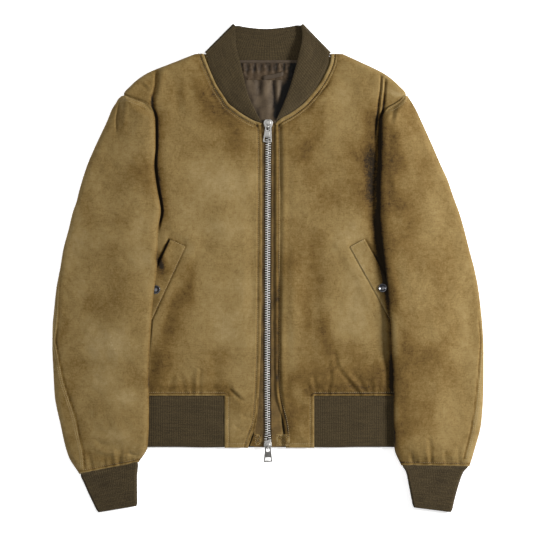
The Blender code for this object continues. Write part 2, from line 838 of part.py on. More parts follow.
def make_snap(side):
    """A snap's cap: a low dome on the middle of the welt."""
    x, y = welt_point(side, POCKET_LENGTH / 2, POCKET_WIDTH / 2 + 1.0)
    low = FRONT_TOP + 0.3 + WELT_THICKNESS + 0.3
    profile = ((0.0, 1.0), (0.55, 0.96), (0.85, 0.7), (1.0, 0.35), (1.0, 0.0), (0.0, 0.0))
    mesh = bmesh.new()
    verts = [mesh.verts.new((r * SNAP_RADIUS * MM, 0, z * SNAP_THICKNESS * MM)) for r, z in profile]
    edges = [mesh.edges.new(pair) for pair in zip(verts, verts[1:])]
    bmesh.ops.spin(mesh, geom=verts + edges, axis=(0, 0, 1), cent=(0, 0, 0), steps=20,
                   angle=2 * math.pi)
    bmesh.ops.remove_doubles(mesh, verts=mesh.verts, dist=1e-6)
    bmesh.ops.recalc_face_normals(mesh, faces=mesh.faces)
    data = bpy.data.meshes.new("snap_" + side)
    mesh.to_mesh(data)
    mesh.free()
    data.shade_smooth()
    data.set_sharp_from_angle(angle=math.radians(40))
    snap = place("snap_" + side, data, "snap_metal")
    snap.location = Vector((x, y, low)) * MM


# ---------------------------------------------------------------------------
# Inside the neck
# ---------------------------------------------------------------------------

def make_neck_inside():
    """The tape over the neck seam, the gathered facing, the lining below it and the hanger loop."""
    tape = []
    for y in (333.0, 328.6):
        tape.append([(x, y, TRIM_LOW, TRIM_TOP) for x in (-58, -30, 0, 30, 56)])
    panel("neck_tape", tape, "lining")

    facing = []
    for y in (328.2, 319, 310, 301.4):
        reach = mix(58, 62, (328.2 - y) / 27)
        line = []
        for n in range(25):
            x = mix(-reach, reach, n / 24)
            fold = ridges(FACING_FOLDS, x, y) if y < 328 else 0.0
            line.append((x, y, TRIM_LOW, TRIM_TOP + fold))
        facing.append(line)
    panel("neck_facing", facing, "lining")

    lining = []
    for y in (301, 287, 272, 258, 245, 232.4):
        right = min(60.0, read(FRONT_ROWS, "inner_right", y) + 14)
        left = min(60.0, read(FRONT_ROWS, "inner_left", y) + 14)
        line = []
        for n in range(17):
            x = mix(-right, left, n / 16)
            shown = ease((mix(40, 12, (301 - y) / 69) + 8 - abs(x)) / 8)
            fold = ridges(LINING_FOLDS, x, y) * shown
            line.append((x, y, TRIM_LOW + 0.5 * fold, TRIM_TOP + fold))
        lining.append(line)
    panel("lining_back", lining, "lining")

    loop = []
    for x, y in ((-7, 304.5), (-3, 305.2), (8, 307), (20, 310), (24.5, 311.5)):
        low = TRIM_TOP + 1.3
        loop.append([(x, y + rise, low, low + 1.0) for rise in (-3.8, -1.3, 1.3, 3.8)])
    panel("hanger_loop", loop, "lining")


# ---------------------------------------------------------------------------
# Zip
# ---------------------------------------------------------------------------

def make_zip_tape(side):
    """A zip tape under a front's edge, from the neck to the hem."""
    sign = SIDES[side]
    plan = []
    for y in (231.6, 150, 60, -30, -120, -200, -250, -287):
        centre = sign * read(ZIP_LINE, "x", y)
        line = []
        for x in (TAPE_WIDTH, TAPE_WIDTH / 2, 1.0):
            reach = centre + x
            line.append((sign * reach, y, TRIM_LOW, TRIM_TOP))
        plan.append(line)
    panel("zip_tape_" + side, plan, "zip_cloth")


def make_chain():
    """The closed chain, as one strip with low rounded shoulders."""
    plan = []
    for y in (229, 170, 110, 50, -10, -70, -130, -190, -240, -283):
        centre = read(ZIP_LINE, "x", y)
        line = []
        for across, sink in ((-0.5, 0.9), (-0.3, 0.0), (0.3, 0.0), (0.5, 0.9)):
            line.append((centre + across * CHAIN_WIDTH, y, CHAIN_LOW, CHAIN_TOP - sink))
        plan.append(line)
    panel("zip_chain", plan, "zip_metal")


def outline_mesh(name, outlines, thickness):
    """A flat plate from closed outlines in plan, the first solid and the rest cut out."""
    curve = bpy.data.curves.new(name, "CURVE")
    curve.dimensions = "2D"
    curve.fill_mode = "BOTH"
    curve.extrude = thickness * MM / 2
    for outline in outlines:
        spline = curve.splines.new("POLY")
        spline.points.add(len(outline) - 1)
        for point, (x, y) in zip(spline.points, outline):
            point.co = (x * MM, y * MM, 0, 1)
        spline.use_cyclic_u = True
    shape = bpy.data.objects.new(name, curve)
    bpy.context.scene.collection.objects.link(shape)
    bpy.context.view_layer.update()
    evaluated = shape.evaluated_get(bpy.context.evaluated_depsgraph_get())
    data = bpy.data.meshes.new_from_object(evaluated)
    bpy.data.objects.remove(shape, do_unlink=True)
    mesh = bmesh.new()
    mesh.from_mesh(data)
    bmesh.ops.remove_doubles(mesh, verts=mesh.verts, dist=1e-6)
    bmesh.ops.recalc_face_normals(mesh, faces=mesh.faces)
    mesh.to_mesh(data)
    mesh.free()
    return data


def rounded(corners, radius, steps=3):
    """A closed outline with its corners rounded."""
    result = []
    for n, corner in enumerate(corners):
        here = Vector(corner)
        before = (Vector(corners[n - 1]) - here).normalized()
        after = (Vector(corners[(n + 1) % len(corners)]) - here).normalized()
        start = here + before * radius
        end = here + after * radius
        for step in range(steps + 1):
            t = step / steps
            point = start * (1 - t) ** 2 + here * 2 * t * (1 - t) + end * t ** 2
            result.append((point.x, point.y))
    return result


def make_slider(fitting):
    """A slider: a plate with a waist, rims down beside the chain, and a bridge for the pull."""
    facing = fitting["facing"]
    name = "zip_slider_" + fitting["name"]
    centre_y = fitting["y"] + SLIDER_LENGTH / 2 - PLATE_PAST_HINGE
    half = SLIDER_WIDTH / 2
    reach = SLIDER_LENGTH / 2
    corners = ((-half, reach), (-half, 0.5), (-half + 1.6, -reach),
               (half - 1.6, -reach), (half, 0.5), (half, reach))
    corners = [(x, y * facing) for x, y in corners]
    plate = place(name, outline_mesh(name, [rounded(corners, 1.6)], SLIDER_PLATE), "zip_metal")
    plate_low = CHAIN_TOP + 0.3
    centre_x = read(ZIP_LINE, "x", fitting["y"])
    plate.location = Vector((centre_x, centre_y, plate_low + SLIDER_PLATE / 2)) * MM
    parts = []
    for sign in (-1, 1):
        rim_width = 1.5
        rim_height = 2.9
        spot = (centre_x + sign * (half - 2.0), centre_y, plate_low + 0.2 - rim_height / 2)
        bpy.ops.mesh.primitive_cube_add(size=1.0, location=Vector(spot) * MM)
        rim = bpy.context.object
        rim.scale = Vector((rim_width, SLIDER_LENGTH * 0.62, rim_height)) * MM
        parts.append(rim)
    axis_z = plate_low + SLIDER_PLATE + BRIDGE_INNER
    ring = BRIDGE_INNER + BRIDGE_BAR
    bpy.ops.mesh.primitive_torus_add(
        location=Vector((centre_x, fitting["y"], axis_z)) * MM, rotation=(0, math.pi / 2, 0),
        major_radius=ring * MM, minor_radius=BRIDGE_BAR * MM, major_segments=14, minor_segments=6)
    parts.append(bpy.context.object)
    for number, part in enumerate(parts):
        part.name = f"{name}_joined_{number}"
        part.hide_render = True
        part.display_type = "WIRE"
        for home in list(part.users_collection):
            home.objects.unlink(part)
        collection("cutters").objects.link(part)
        union = plate.modifiers.new("join", "BOOLEAN")
        union.operation = "UNION"
        union.object = part


def make_pull(fitting):
    """A pull tab: a tapered plate with a slot for the bridge and a window near its end."""
    name = "zip_pull_" + fitting["name"]
    end = 1.1 - PULL_LENGTH
    body = rounded(((-4.6, 1.0), (4.6, 1.0), (7.0, end), (-7.0, end)), 1.2)
    slot = rounded(((-2.8, -6.8), (2.8, -6.8), (2.6, -1.0), (-2.6, -1.0)), 0.7, 2)
    window = rounded(((-5.0, end + 2.0), (5.0, end + 2.0), (4.3, end + 7.6), (-4.3, end + 7.6)), 0.8, 2)
    data = outline_mesh(name, (body, slot, window), PULL_THICKNESS)
    pull = place(name, data, "zip_metal")
    axis_z = CHAIN_TOP + 0.3 + SLIDER_PLATE + BRIDGE_INNER
    pull.location = Vector((read(ZIP_LINE, "x", fitting["y"]), fitting["y"], axis_z)) * MM
    tilt = Matrix.Rotation(math.radians(fitting["tilt"]), 4, "X")
    turn = Matrix.Rotation(math.radians(fitting["turn"]), 4, "Z")
    pull.data.transform(tilt @ turn)


def make_patches():
    """The patches that hold the foot of the zip: the left one bridges onto its front."""
    patches = {
        "right": {"across": (-24.2, -17, -10.5), "height": (5.5, 5.5, 5.5)},
        "left": {"across": (13, 19, 24, 27.2, 35.5), "height": (5.5, 5.5, 5.5, 8.9, 9.9)},
    }
    for side, patch in patches.items():
        plan = []
        for y in (-266, -275.5, -285):
            line = []
            for x, low in zip(patch["across"], patch["height"]):
                line.append((x, y, low, low + 0.9))
            plan.append(line)
        panel("zip_patch_" + side, plan, "shell")


def main():
    """Make the whole jacket."""
    clear_scene()
    make_back()
    make_waistband()
    make_collar()
    make_neck_inside()
    make_chain()
    make_patches()
    for side in SIDES:
        make_front(side)
        make_sleeve(side)
        make_cuff(side)
        make_welt(side)
        make_snap(side)
        make_zip_tape(side)
    for fitting in ZIP_FITTINGS:
        make_slider(fitting)
        make_pull(fitting)


main()
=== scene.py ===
# %% [markdown]
# # A washed bomber jacket, zipped up and laid flat
#
# This lesson dresses a plain solid model of a bomber jacket in cloth, rib knit and metal. The
# solids are the frame: they say where each panel lies and how thick the layers are. Every new
# piece is laid over its solid, so that nothing has to be fitted by eye afterwards.

# %% Tools and the frame
import math

import bpy
import numpy as np
from mathutils import Matrix, Vector
from mathutils.bvhtree import BVHTree


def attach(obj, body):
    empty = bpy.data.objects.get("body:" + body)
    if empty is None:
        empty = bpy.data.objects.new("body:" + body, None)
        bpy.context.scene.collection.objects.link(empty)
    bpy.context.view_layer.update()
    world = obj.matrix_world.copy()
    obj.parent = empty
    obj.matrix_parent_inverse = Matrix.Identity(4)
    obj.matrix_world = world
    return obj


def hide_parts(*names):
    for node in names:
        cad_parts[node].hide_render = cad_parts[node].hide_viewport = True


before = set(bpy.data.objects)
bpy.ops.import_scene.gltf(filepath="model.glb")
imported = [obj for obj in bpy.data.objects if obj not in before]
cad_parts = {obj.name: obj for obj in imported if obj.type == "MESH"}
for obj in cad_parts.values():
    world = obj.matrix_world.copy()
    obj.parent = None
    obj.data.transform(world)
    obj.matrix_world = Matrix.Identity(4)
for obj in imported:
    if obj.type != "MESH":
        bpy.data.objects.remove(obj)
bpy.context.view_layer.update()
MM = 0.001
BODY = "jacket"
SIDES = {"right": -1.0, "left": 1.0}
print("solids in the frame:", len(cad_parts))

# %% [markdown]
# ## Camera, light and floor
#
# A flat garment is easiest to judge from straight above. A long lens far away keeps the view
# nearly parallel, so the outline stays true. One large soft light stands low at the jacket's
# left, and it makes the folds readable. A pale sky fills the shadows. The floor is a plain sheet.

# %% Camera, light and floor
VIEW_CENTRE = (-0.0024, 0.0024)
VIEW_WIDTH = 0.8528
VIEW_HEIGHT = 5.0
LAYER_HEIGHT = 0.012
SENSOR_WIDTH = 36.0
LIGHTS = (
    ("key_light", (2.6, 0.45, 1.42), 0.62, 190.0),
    ("top_light", (-0.3, 0.7, 3.0), 2.2, 26.0),
    ("fill_light", (-2.4, 0.2, 1.5), 0.8, 17.0),
)


def add_camera():
    """A camera that looks straight down, with the jacket's collar at the top."""
    bpy.ops.object.camera_add(location=(*VIEW_CENTRE, VIEW_HEIGHT), rotation=(0, 0, 0))
    camera = bpy.context.object
    camera.data.sensor_width = SENSOR_WIDTH
    camera.data.lens = SENSOR_WIDTH * (VIEW_HEIGHT - LAYER_HEIGHT) / VIEW_WIDTH
    camera.data.clip_end = 50.0
    bpy.context.scene.camera = camera
    return camera


def add_light(name, place, size, power):
    """A square soft light that faces the middle of the floor."""
    turn = (-Vector(place)).to_track_quat("-Z", "Y").to_euler()
    bpy.ops.object.light_add(type="AREA", location=place, rotation=turn)
    light = bpy.context.object
    light.name = name
    light.data.shape = "SQUARE"
    light.data.size = size
    light.data.energy = power


def set_inputs(node, **values):
    """Sets a node's sockets by name, with an underscore for each space."""
    for socket, value in values.items():
        node.inputs[socket.replace("_", " ")].default_value = value


def new_paint(name, **values):
    """A material, its tree and its Principled shader with plain values set on it."""
    paint = bpy.data.materials.new(name)
    paint.use_nodes = True
    shader = paint.node_tree.nodes["Principled BSDF"]
    set_inputs(shader, **values)
    return paint, paint.node_tree, shader


bpy.ops.object.select_all(action="DESELECT")
camera = add_camera()
for light in LIGHTS:
    add_light(*light)

world = bpy.data.worlds.new("studio")
bpy.context.scene.world = world
world.use_nodes = True
set_inputs(world.node_tree.nodes["Background"], Color=(1.0, 1.0, 1.0, 1.0), Strength=0.27)
bpy.context.scene.view_settings.view_transform = "Standard"

bpy.ops.mesh.primitive_plane_add(size=8.0, location=(0, 0, -0.0002))
floor = bpy.context.object
floor.name = "floor"
floor.data.materials.append(new_paint(
    "pale_floor", Base_Color=(0.93, 0.93, 0.93, 1), Roughness=0.9,
    Emission_Color=(1, 1, 1, 1), Emission_Strength=0.5)[0])
print("lens", round(camera.data.lens), "mm")

# %% [markdown]
# ## Sizes
#
# Cloth is cut from a pattern, so the sizes come as tables: at each height, how far the panel's
# two edges are from the centre line. They are in millimetres, with the same origin as the solids.

# %% Pattern tables
FRONT_TOP = 9.5
BACK_TOP = 4.0
HEM = -204.6
FOOT = -288.0
NECK_GAP = 1.5
BLOCK_EDGE = {"right": 69.6, "left": 74.0}
SLEEVE_WALL = 4.0
SLEEVE_GAP = 0.4


def table(columns, *rows):
    """Rows of numbers as dictionaries, keyed by the column names."""
    names = columns.split()
    return [dict(zip(names, row)) for row in rows]


FRONT_ROWS = table(
    "y  outer_right  inner_right  outer_left  inner_left",
    (343, 117, 101.5, 120, 100), (333, 142, 98, 142, 99), (309, 199, 88.2, 190, 89.6),
    (293, 219, 80.9, 209, 80), (278, 231, 71.3, 221, 68.5), (271, 217, 66.7, 218, 62.5),
    (264, 198, 62.4, 209, 56), (256, 193, 52.6, 196, 46), (247, 191, 40.3, 190, 33),
    (241, 190, 30.5, 189, 21.7), (236, 190, 21, 188.5, 15), (232, 189.5, 10.8, 188.5, 12.2),
    (195, 190, 9.3, 189, 12), (165, 193, 9.3, 191, 12), (141, 205, 9.3, 203, 12),
    (122, 232, 9.3, 231, 12), (104, 262, 9.3, 262, 12), (92, 278, 9.4, 279, 12), (60, 277, 9.6, 277, 12),
    (30, 274, 9.8, 274, 12), (0, 270, 10, 270, 12), (-32, 266, 10.2, 266, 12),
    (-64, 262, 10.4, 261, 12.2), (-96, 257, 11, 257, 12.2), (-128, 252, 11.5, 252, 12.3),
    (-155, 248, 12.5, 248, 12.5), (-180, 245, 13.3, 244, 12.4), (HEM, 241.5, 14.6, 241, 14.4),
    (-226, 241, 16, 240, 19.6), (-246, 240, 18, 240, 24.8), (-268, 240, 25.5, 240, 27.8),
    (FOOT, 240, 32, 240, 28.4),
)
SLEEVE_ROWS = {
    "right": table(
        "y  drop  inner  outer",
        (276, 0, 227, 234.5), (271, 0, 213, 240), (264, 0, 193, 244), (256, 0, 186, 249.3),
        (236, 0, 180.5, 257.6), (195, 0, 180, 276.8), (165, 0, 182, 289.6), (141, 0, 179.5, 297.6),
        (122, 0, 176.5, 303), (104, 0, 173, 307.5), (92, 0, 171.5, 312), (60, 0, 176, 320),
        (30, 0, 176.5, 328), (0, 0, 177, 333), (-32, 0, 181.6, 339), (-64, 0, 184.8, 342.5),
        (-96, 0, 187, 345.3), (-128, 0, 189, 345.6), (-165, 0, 190.2, 344), (HEM, 0, 190.2, 341.8),
        (-246, 5, 190.4, 332.5), (-287, 14, 193, 320), (-311, 19.4, 207, 302),
    ),
    "left": table(
        "y  drop  inner  outer",
        (276, 0, 217.5, 224), (271, 0, 214, 227), (264, 0, 205, 231.5), (256, 0, 191, 236),
        (236, 0, 181.5, 245.5), (195, 0, 181, 264), (165, 0, 180.5, 277), (141, 0, 179, 288),
        (122, 0, 178.7, 294.5), (104, 0, 178.7, 301), (92, 0, 178.7, 305.5), (60, 0, 181, 315),
        (30, 0, 184, 322.5), (0, 0, 187.7, 330.5), (-32, 0, 191, 337), (-64, 0, 193.5, 341),
        (-96, 0, 196.5, 344), (-128, 0, 198, 345.6), (-165, 0, 199.8, 345.6), (HEM, 0, 200.8, 345),
        (-246, 2, 201.3, 342), (-288, 4, 202.3, 331), (-316.4, 1.5, 213.5, 323),
    ),
}
SLEEVE_LAY = table(
    "y  height",
    (276, 7.8), (271, 8.7), (264, 9.5), (256, 9.9), (60, 9.9), (30, 13.7), (-128, 13.7), (-165, 9.9),
    (-290, 9.9),
)
WELTS = {
    "right": {"corner": (131, 35), "run": (70, -151)},
    "left": {"corner": (130, 34), "run": (81, -146)},
}
WELT_LENGTH = 167.0
WELT_WIDTH = 27.5
print("front rows:", len(FRONT_ROWS), "sleeve rows:", len(SLEEVE_ROWS["right"]))

# %% [markdown]
# ## From tables to smooth lines
#
# A pattern cutter draws a smooth line through a few measured points. `smooth_line` does the same:
# it passes through every point and never swings past one, so that an edge gets no false waves.
# `near_line` turns that round and says how far each point of the cloth is from a seam. Nearly all
# the shaping below is made from such distances, with `ease` for a soft step and `bell` for a
# soft line.

# %% Lines and distances
WAVES = 16


def ease(t):
    """0 to 1 with soft ends."""
    t = np.clip(t, 0.0, 1.0)
    return t * t * (3.0 - 2.0 * t)


def bell(away, width, power=2):
    """1 on a line, fading out over a width on both sides of it."""
    return np.exp(-(away / width) ** power)


def smooth_line(places, values, at):
    """Values on a smooth line through the given points, with no swing past them."""
    places = np.array(places, float)
    values = np.array(values, float)
    run = np.diff(places)
    rise = np.diff(values) / run
    slope = np.zeros(len(places))
    same_way = rise[:-1] * rise[1:] > 0
    near = 2 * run[1:] + run[:-1]
    far = run[1:] + 2 * run[:-1]
    safe = np.where(same_way, rise[:-1], 1.0), np.where(same_way, rise[1:], 1.0)
    slope[1:-1] = np.where(same_way, (near + far) / (near / safe[0] + far / safe[1]), 0.0)
    slope[0] = rise[0]
    slope[-1] = rise[-1]
    at = np.clip(at, places[0], places[-1])
    k = np.clip(np.searchsorted(places, at) - 1, 0, len(run) - 1)
    t = (at - places[k]) / run[k]
    ends = (1 + 2 * t) * (1 - t) ** 2 * values[k] + t * t * (3 - 2 * t) * values[k + 1]
    turns = t * (1 - t) ** 2 * slope[k] + t * t * (t - 1) * slope[k + 1]
    return ends + turns * run[k]


def read(rows, column, y):
    """A table's column at heights y, on a smooth line."""
    return smooth_line([row["y"] for row in rows][::-1], [row[column] for row in rows][::-1], y)


def distances(points):
    """How far along a line of points each of them is."""
    return np.concatenate([[0], np.cumsum(np.hypot(*np.diff(points, axis=0).T[:2]))])


def near_line(x, y, path, signed=False):
    """How far each point is from a line of points, and where along it the nearest spot is."""
    best = np.full(np.shape(x), 1e9)
    along = np.zeros(np.shape(x))
    hand = np.ones(np.shape(x))
    passed = 0.0
    for (x0, y0), (x1, y1) in zip(path, path[1:]):
        length = math.hypot(x1 - x0, y1 - y0)
        if length < 1e-6:
            continue
        share = np.clip(((x - x0) * (x1 - x0) + (y - y0) * (y1 - y0)) / length ** 2, 0, 1)
        away = np.hypot(x - x0 - share * (x1 - x0), y - y0 - share * (y1 - y0))
        closer = away < best
        best = np.where(closer, away, best)
        along = np.where(closer, passed + share * length, along)
        turn = (x1 - x0) * (y - y0) - (y1 - y0) * (x - x0)
        hand = np.where(closer, np.sign(turn), hand)
        passed += length
    return (best * hand if signed else best), along


def edge_path(rows, column, top, bottom, step, extra=0.0):
    """Points down an edge that a table gives."""
    heights = np.arange(top, bottom - 1e-6, -step)
    heights = np.append(heights, bottom) if heights[-1] > bottom + 1e-6 else heights
    return np.stack([read(rows, column, heights) + extra, heights], 1)


def undulation(x, y, length, height, seed, stretch=1.0):
    """Soft uneven swells, as padding gives cloth: many waves of like length laid over each other."""
    random = np.random.default_rng(seed)
    total = np.zeros(np.shape(x))
    for _ in range(WAVES):
        heading = random.uniform(0, math.tau)
        pace = math.tau / (length * random.uniform(0.7, 1.5))
        start = random.uniform(0, math.tau)
        total += np.sin(pace * (x * math.cos(heading) + y / stretch * math.sin(heading)) + start)
    return height * total / math.sqrt(WAVES / 2)


def creased(x, y, creases):
    """Height that the listed creases add: a soft ridge or trough along each line.

    A crease that leans is steep on one side: to the left of its line, seen along it, for -1.
    """
    total = np.zeros(np.shape(x))
    for crease in creases:
        away, along = near_line(x, y, crease["path"], True)
        away = away / (1.0 + 0.75 * crease.get("lean", 0) * np.sign(away))
        share = along / distances(crease["path"])[-1]
        fade = ease((1.0 - share) * 3.0)
        if not crease["held"]:
            fade = fade * ease(share * 3.0)
        total += crease["height"] * fade * bell(away, crease["width"])
    return total


def groove(away, offset, depth, width=1.3):
    """A stitched groove at some distance from an edge."""
    return -depth * bell(away - offset, width)


def turned(away, reach, depth):
    """How far cloth drops towards its edge, where it is turned under."""
    return depth * np.clip(1.0 - away / reach, 0, 1) ** 2


def puckers(away, along, offset, reach, height, pitch, seed):
    """Small tucks square to a stitch line, each of its own length and strength."""
    random = np.random.default_rng(seed)
    total = np.zeros(np.shape(away))
    spot = random.uniform(0, pitch)
    past = away - offset
    while spot < along.max():
        width = random.uniform(1.4, 3.2)
        strength = height * random.uniform(-1.0, 0.9)
        length = reach * random.uniform(0.35, 1.3)
        fade = bell(past, np.where(past > 0, length, 2.2))
        total += strength * fade * bell(along - spot + 0.12 * past, width)
        spot += pitch * random.uniform(0.45, 1.7)
    return total


print("a smooth line reads", np.round(read(FRONT_ROWS, "outer_right", np.array([300.0, 0.0])), 1))

# %% [markdown]
# ## How a sheet of cloth is made here
#
# A sheet starts as a grid primitive, because an even grid bends into folds without tearing. Its
# points are laid in place, cells outside the pattern are deleted, and a Solidify modifier gives
# the sheet its thickness. The UV map keeps the cloth's own measure in metres, so a weave stays
# straight on the grain, and the flat size of the cut can be read from it. `sew` does all of that
# for rows of points, and then ties the sheet to the solid that it stands for.

# %% Sheets
FAR_BELOW = -4000
FAR_ABOVE = 4000


def edit(*steps, everything=True):
    """Takes steps in Edit Mode, each with its settings, on the whole mesh or on what is selected."""
    bpy.ops.object.mode_set(mode="EDIT")
    if everything:
        bpy.ops.mesh.select_all(action="SELECT")
    for step, settings in steps:
        step(**settings)
    bpy.ops.object.mode_set(mode="OBJECT")


def blank(name, across, down):
    """A grid primitive, with the row and column number of each of its points."""
    bpy.ops.object.select_all(action="DESELECT")
    bpy.ops.mesh.primitive_grid_add(x_subdivisions=across, y_subdivisions=down, size=2.0)
    piece = bpy.context.object
    piece.name = name
    piece.data.name = name
    points = np.empty(len(piece.data.vertices) * 3, np.float32)
    piece.data.vertices.foreach_get("co", points)
    points = points.reshape(-1, 3)
    column = np.rint((points[:, 0] + 1) / 2 * across).astype(int)
    row = np.rint((1 - points[:, 1]) / 2 * down).astype(int)
    return piece, (row, column)


def lay_sheet(name, points, grain, thickness, inside, marks, cut, joined):
    """A closed sheet from rows of points, with the flat size and the area of its cut.

    The grain is each point's place on the flat cloth, and the marks are tones to keep on the
    points. All are given in rows, like the points, and lengths are in millimetres.
    """
    piece, spot = blank(name, points.shape[1] - 1, points.shape[0] - 1)
    mesh = piece.data
    mesh.vertices.foreach_set("co", (points[spot] * MM).astype(np.float32).ravel())
    corners = np.empty(len(mesh.loops), np.int32)
    mesh.loops.foreach_get("vertex_index", corners)
    flat = grain[spot][corners] * MM
    mesh.uv_layers[0].data.foreach_set("uv", flat.astype(np.float32).ravel())
    for key, values in (marks or {}).items():
        attribute = mesh.attributes.new(key, "FLOAT", "POINT")
        attribute.data.foreach_set("value", values[spot].astype(np.float32))
    quads = flat.reshape(-1, 4, 2)
    ahead = np.roll(quads, -1, axis=1)
    areas = np.abs((quads[..., 0] * ahead[..., 1] - ahead[..., 0] * quads[..., 1]).sum(1)) / 2
    if cut is not None:
        gone = cut[spot][corners.reshape(-1, 4)].all(1)
        areas = areas[~gone]
        mesh.polygons.foreach_set("select", gone)
        bpy.context.tool_settings.mesh_select_mode = (False, False, True)
        edit((bpy.ops.mesh.delete, {"type": "FACE"}), everything=False)
    if joined:
        edit((bpy.ops.mesh.remove_doubles, {"threshold": 0.00001}))
    mesh.update()
    middle = Vector(inside) * MM
    if sum(face.area * face.normal.dot(face.center - middle) for face in mesh.polygons) < 0:
        edit((bpy.ops.mesh.flip_normals, {}))
    wall = piece.modifiers.new("thickness", "SOLIDIFY")
    wall.thickness = thickness * MM
    wall.offset = -1.0
    bpy.ops.object.modifier_apply(modifier=wall.name)
    bpy.ops.object.shade_smooth_by_angle(angle=math.radians(60))
    size = np.ptp(grain, axis=(0, 1)) * MM
    return piece, (float(size[0]), float(size[1])), float(areas.sum())


def settle(piece, paint, slot, *nodes, body=BODY):
    """Paints a piece, rides it on its body, and hides the solids that it stands for."""
    piece.data.materials.clear()
    piece.data.materials.append(paint)
    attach(piece, body)
    if nodes:
        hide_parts(*nodes)
    print(piece.name, len(piece.data.polygons), "faces")


def sew(name, points, grain, thickness, inside, paint, slot, node, rests_on, marks=None,
        cut=None, joined=False):
    """A sheet of cloth in place of its solid. `inside` is a point that its outside faces away from."""
    piece, flat, area = lay_sheet(name, points, grain, thickness, inside, marks, cut, joined)
    settle(piece, paint, slot, node)
    return piece


# %% [markdown]
# ## The wash
#
# The jacket was washed after it was sewn. The wash faded the cloth in soft patches and left other
# places dark, and this map of tones is what makes the jacket look worn. Each patch is given with a
# size and a strength, its outline is bent by a few slow waves, and finer unevenness is laid over
# all of it. The result is stored on the points, so it moves with the cloth.

# %% Wash patches
# Two patches are painted shade: (-76, 244) under the collar, and (160, 164) beside the jacket's left
# sleeve.
WASH_AND_SHADE_PATCHES = table(
    "x  y  wide  long  turn  tone",
    (-76, 244, 24, 64, 35, -0.75), (-266, -138, 32, 52, 0, 0.45), (-323, -224, 10, 50, 0, -0.55),
    (-304, -275, 10, 28, 0, -0.4), (-202, 266, 18, 30, 0, -0.45), (-125, 26, 30, 18, 0, 0.4),
    (-112, -42, 14, 16, 0, 0.3), (99, -91, 12, 34, 0, -0.4), (80, -160, 26, 22, 0, -0.45),
    (115, 131, 22, 40, 0, -0.3), (221, -235, 22, 70, 0, -0.5), (262, -256, 20, 36, 0, -0.3),
    (266, -112, 22, 26, 0, 0.35), (192, -139, 10, 34, 0, 0.35), (230, 253, 20, 30, 0, -0.4),
    (166, 208, 14, 26, 0, 0.3), (224, 147, 14, 26, 0, 0.25), (291, 102, 10, 26, 0, -0.35),
    (147, 22, 16, 20, 0, 0.35), (48, -198, 12, 16, 0, 0.35), (214, -32, 10, 30, 0, 0.3),
    (-46, 200, 26, 18, 20, -0.2), (-84, 196, 26, 14, 0, -0.3), (-101, 282, 16, 44, 6, -0.3),
    (-24, 189, 10, 24, 0, -0.3), (-131, -27, 15, 48, -22, -0.7), (-154, -99, 19, 54, -18, -0.7),
    (-176, -160, 24, 34, 0, -0.55), (-90, -166, 27, 35, 0, -0.55), (-45, -219, 19, 14, 0, -0.3),
    (-149, 277, 13, 42, 0, -0.25), (-69, 138, 54, 38, 0, 0.5), (-58, -83, 38, 70, 0, 0.35),
    (-115, 74, 35, 26, 0, 0.25), (-109, -99, 19, 32, 0, 0.2), (-51, 58, 29, 26, 0, 0.3),
    (77, 240, 13, 51, -12, -0.6), (58, 186, 26, 13, 0, -0.5), (35, 208, 13, 26, 0, -0.35),
    (80, 10, 16, 54, 0, -0.6), (58, -67, 11, 74, 0, -0.4), (96, -115, 14, 48, 8, -0.6),
    (51, -176, 38, 19, 0, -0.4), (150, -166, 46, 30, 0, -0.75), (96, -196, 60, 18, 0, -0.4),
    (34, -238, 17, 42, 0, -0.95), (66, -252, 18, 34, 0, -0.3), (32, 10, 14, 22, 0, -0.35),
    (70, 141, 16, 26, 0, -0.35), (164, 141, 13, 80, 0, -0.4), (125, 125, 38, 58, 0, -0.1),
    (134, -70, 32, 48, 0, 0.55), (118, 51, 35, 22, 0, 0.4), (37, -123, 11, 48, 0, 0.3),
    (35, 90, 26, 16, 0, 0.25), (107, 261, 22, 35, 0, 0.3), (-200, 144, 30, 26, 0, -0.55),
    (-240, -50, 34, 34, 0, -0.45), (-282, -51, 14, 38, 0, -0.35), (-294, 101, 14, 42, 20, -0.35),
    (-333, -115, 8, 42, 0, -0.5), (-300, 40, 26, 130, 8, 0.3), (-298, -154, 24, 18, 0, -0.3),
    (-216, -179, 18, 14, 0, -0.25), (-275, -243, 16, 26, 20, 0.15), (-253, 29, 22, 19, 0, -0.3),
    (-269, -299, 26, 10, 0, -0.3), (-242, 240, 13, 38, 20, -0.3), (-203, 35, 14, 54, 0, 0.5),
    (-234, -128, 29, 38, 0, 0.4), (-227, -208, 22, 22, 0, 0.45), (-240, -275, 29, 13, 0, 0.3),
    (-221, 213, 16, 29, 0, 0.25), (206, 132, 20, 86, 4, -0.6), (228, 128, 15, 40, 10, -0.05),
    (262, -136, 42, 20, -14, -0.4), (218, -150, 26, 50, 0, -0.45), (262, -20, 46, 190, 6, -0.45),
    (210, -259, 11, 51, 0, -0.5), (256, -224, 16, 16, 0, -0.3), (205, -45, 13, 32, 0, -0.4),
    (203, 189, 11, 35, 0, -0.4), (277, 93, 26, 64, -12, 0.4), (253, -45, 32, 42, 0, 0.4),
    (312, -99, 11, 80, 0, 0.4), (278, -250, 24, 35, 0, 0.35), (240, 189, 16, 32, 0, 0.2),
    (209, 283, 3.4, 11, 32, 0.75), (215, 274, 2.4, 7, 28, 0.6), (203, 286, 2.2, 8, 34, 0.4),
    (-167, 12, 12, 18, -25, -1.3), (160, 164, 17, 54, 0, -0.95), (166, 228, 16, 30, 0, -0.3),
    (186, -178, 14, 24, 0, -0.7), (40, 20, 34, 150, 0, -0.2), (246, 162, 22, 44, 0, -0.25),
    (-186, -170, 12, 30, 0, -0.5),
)


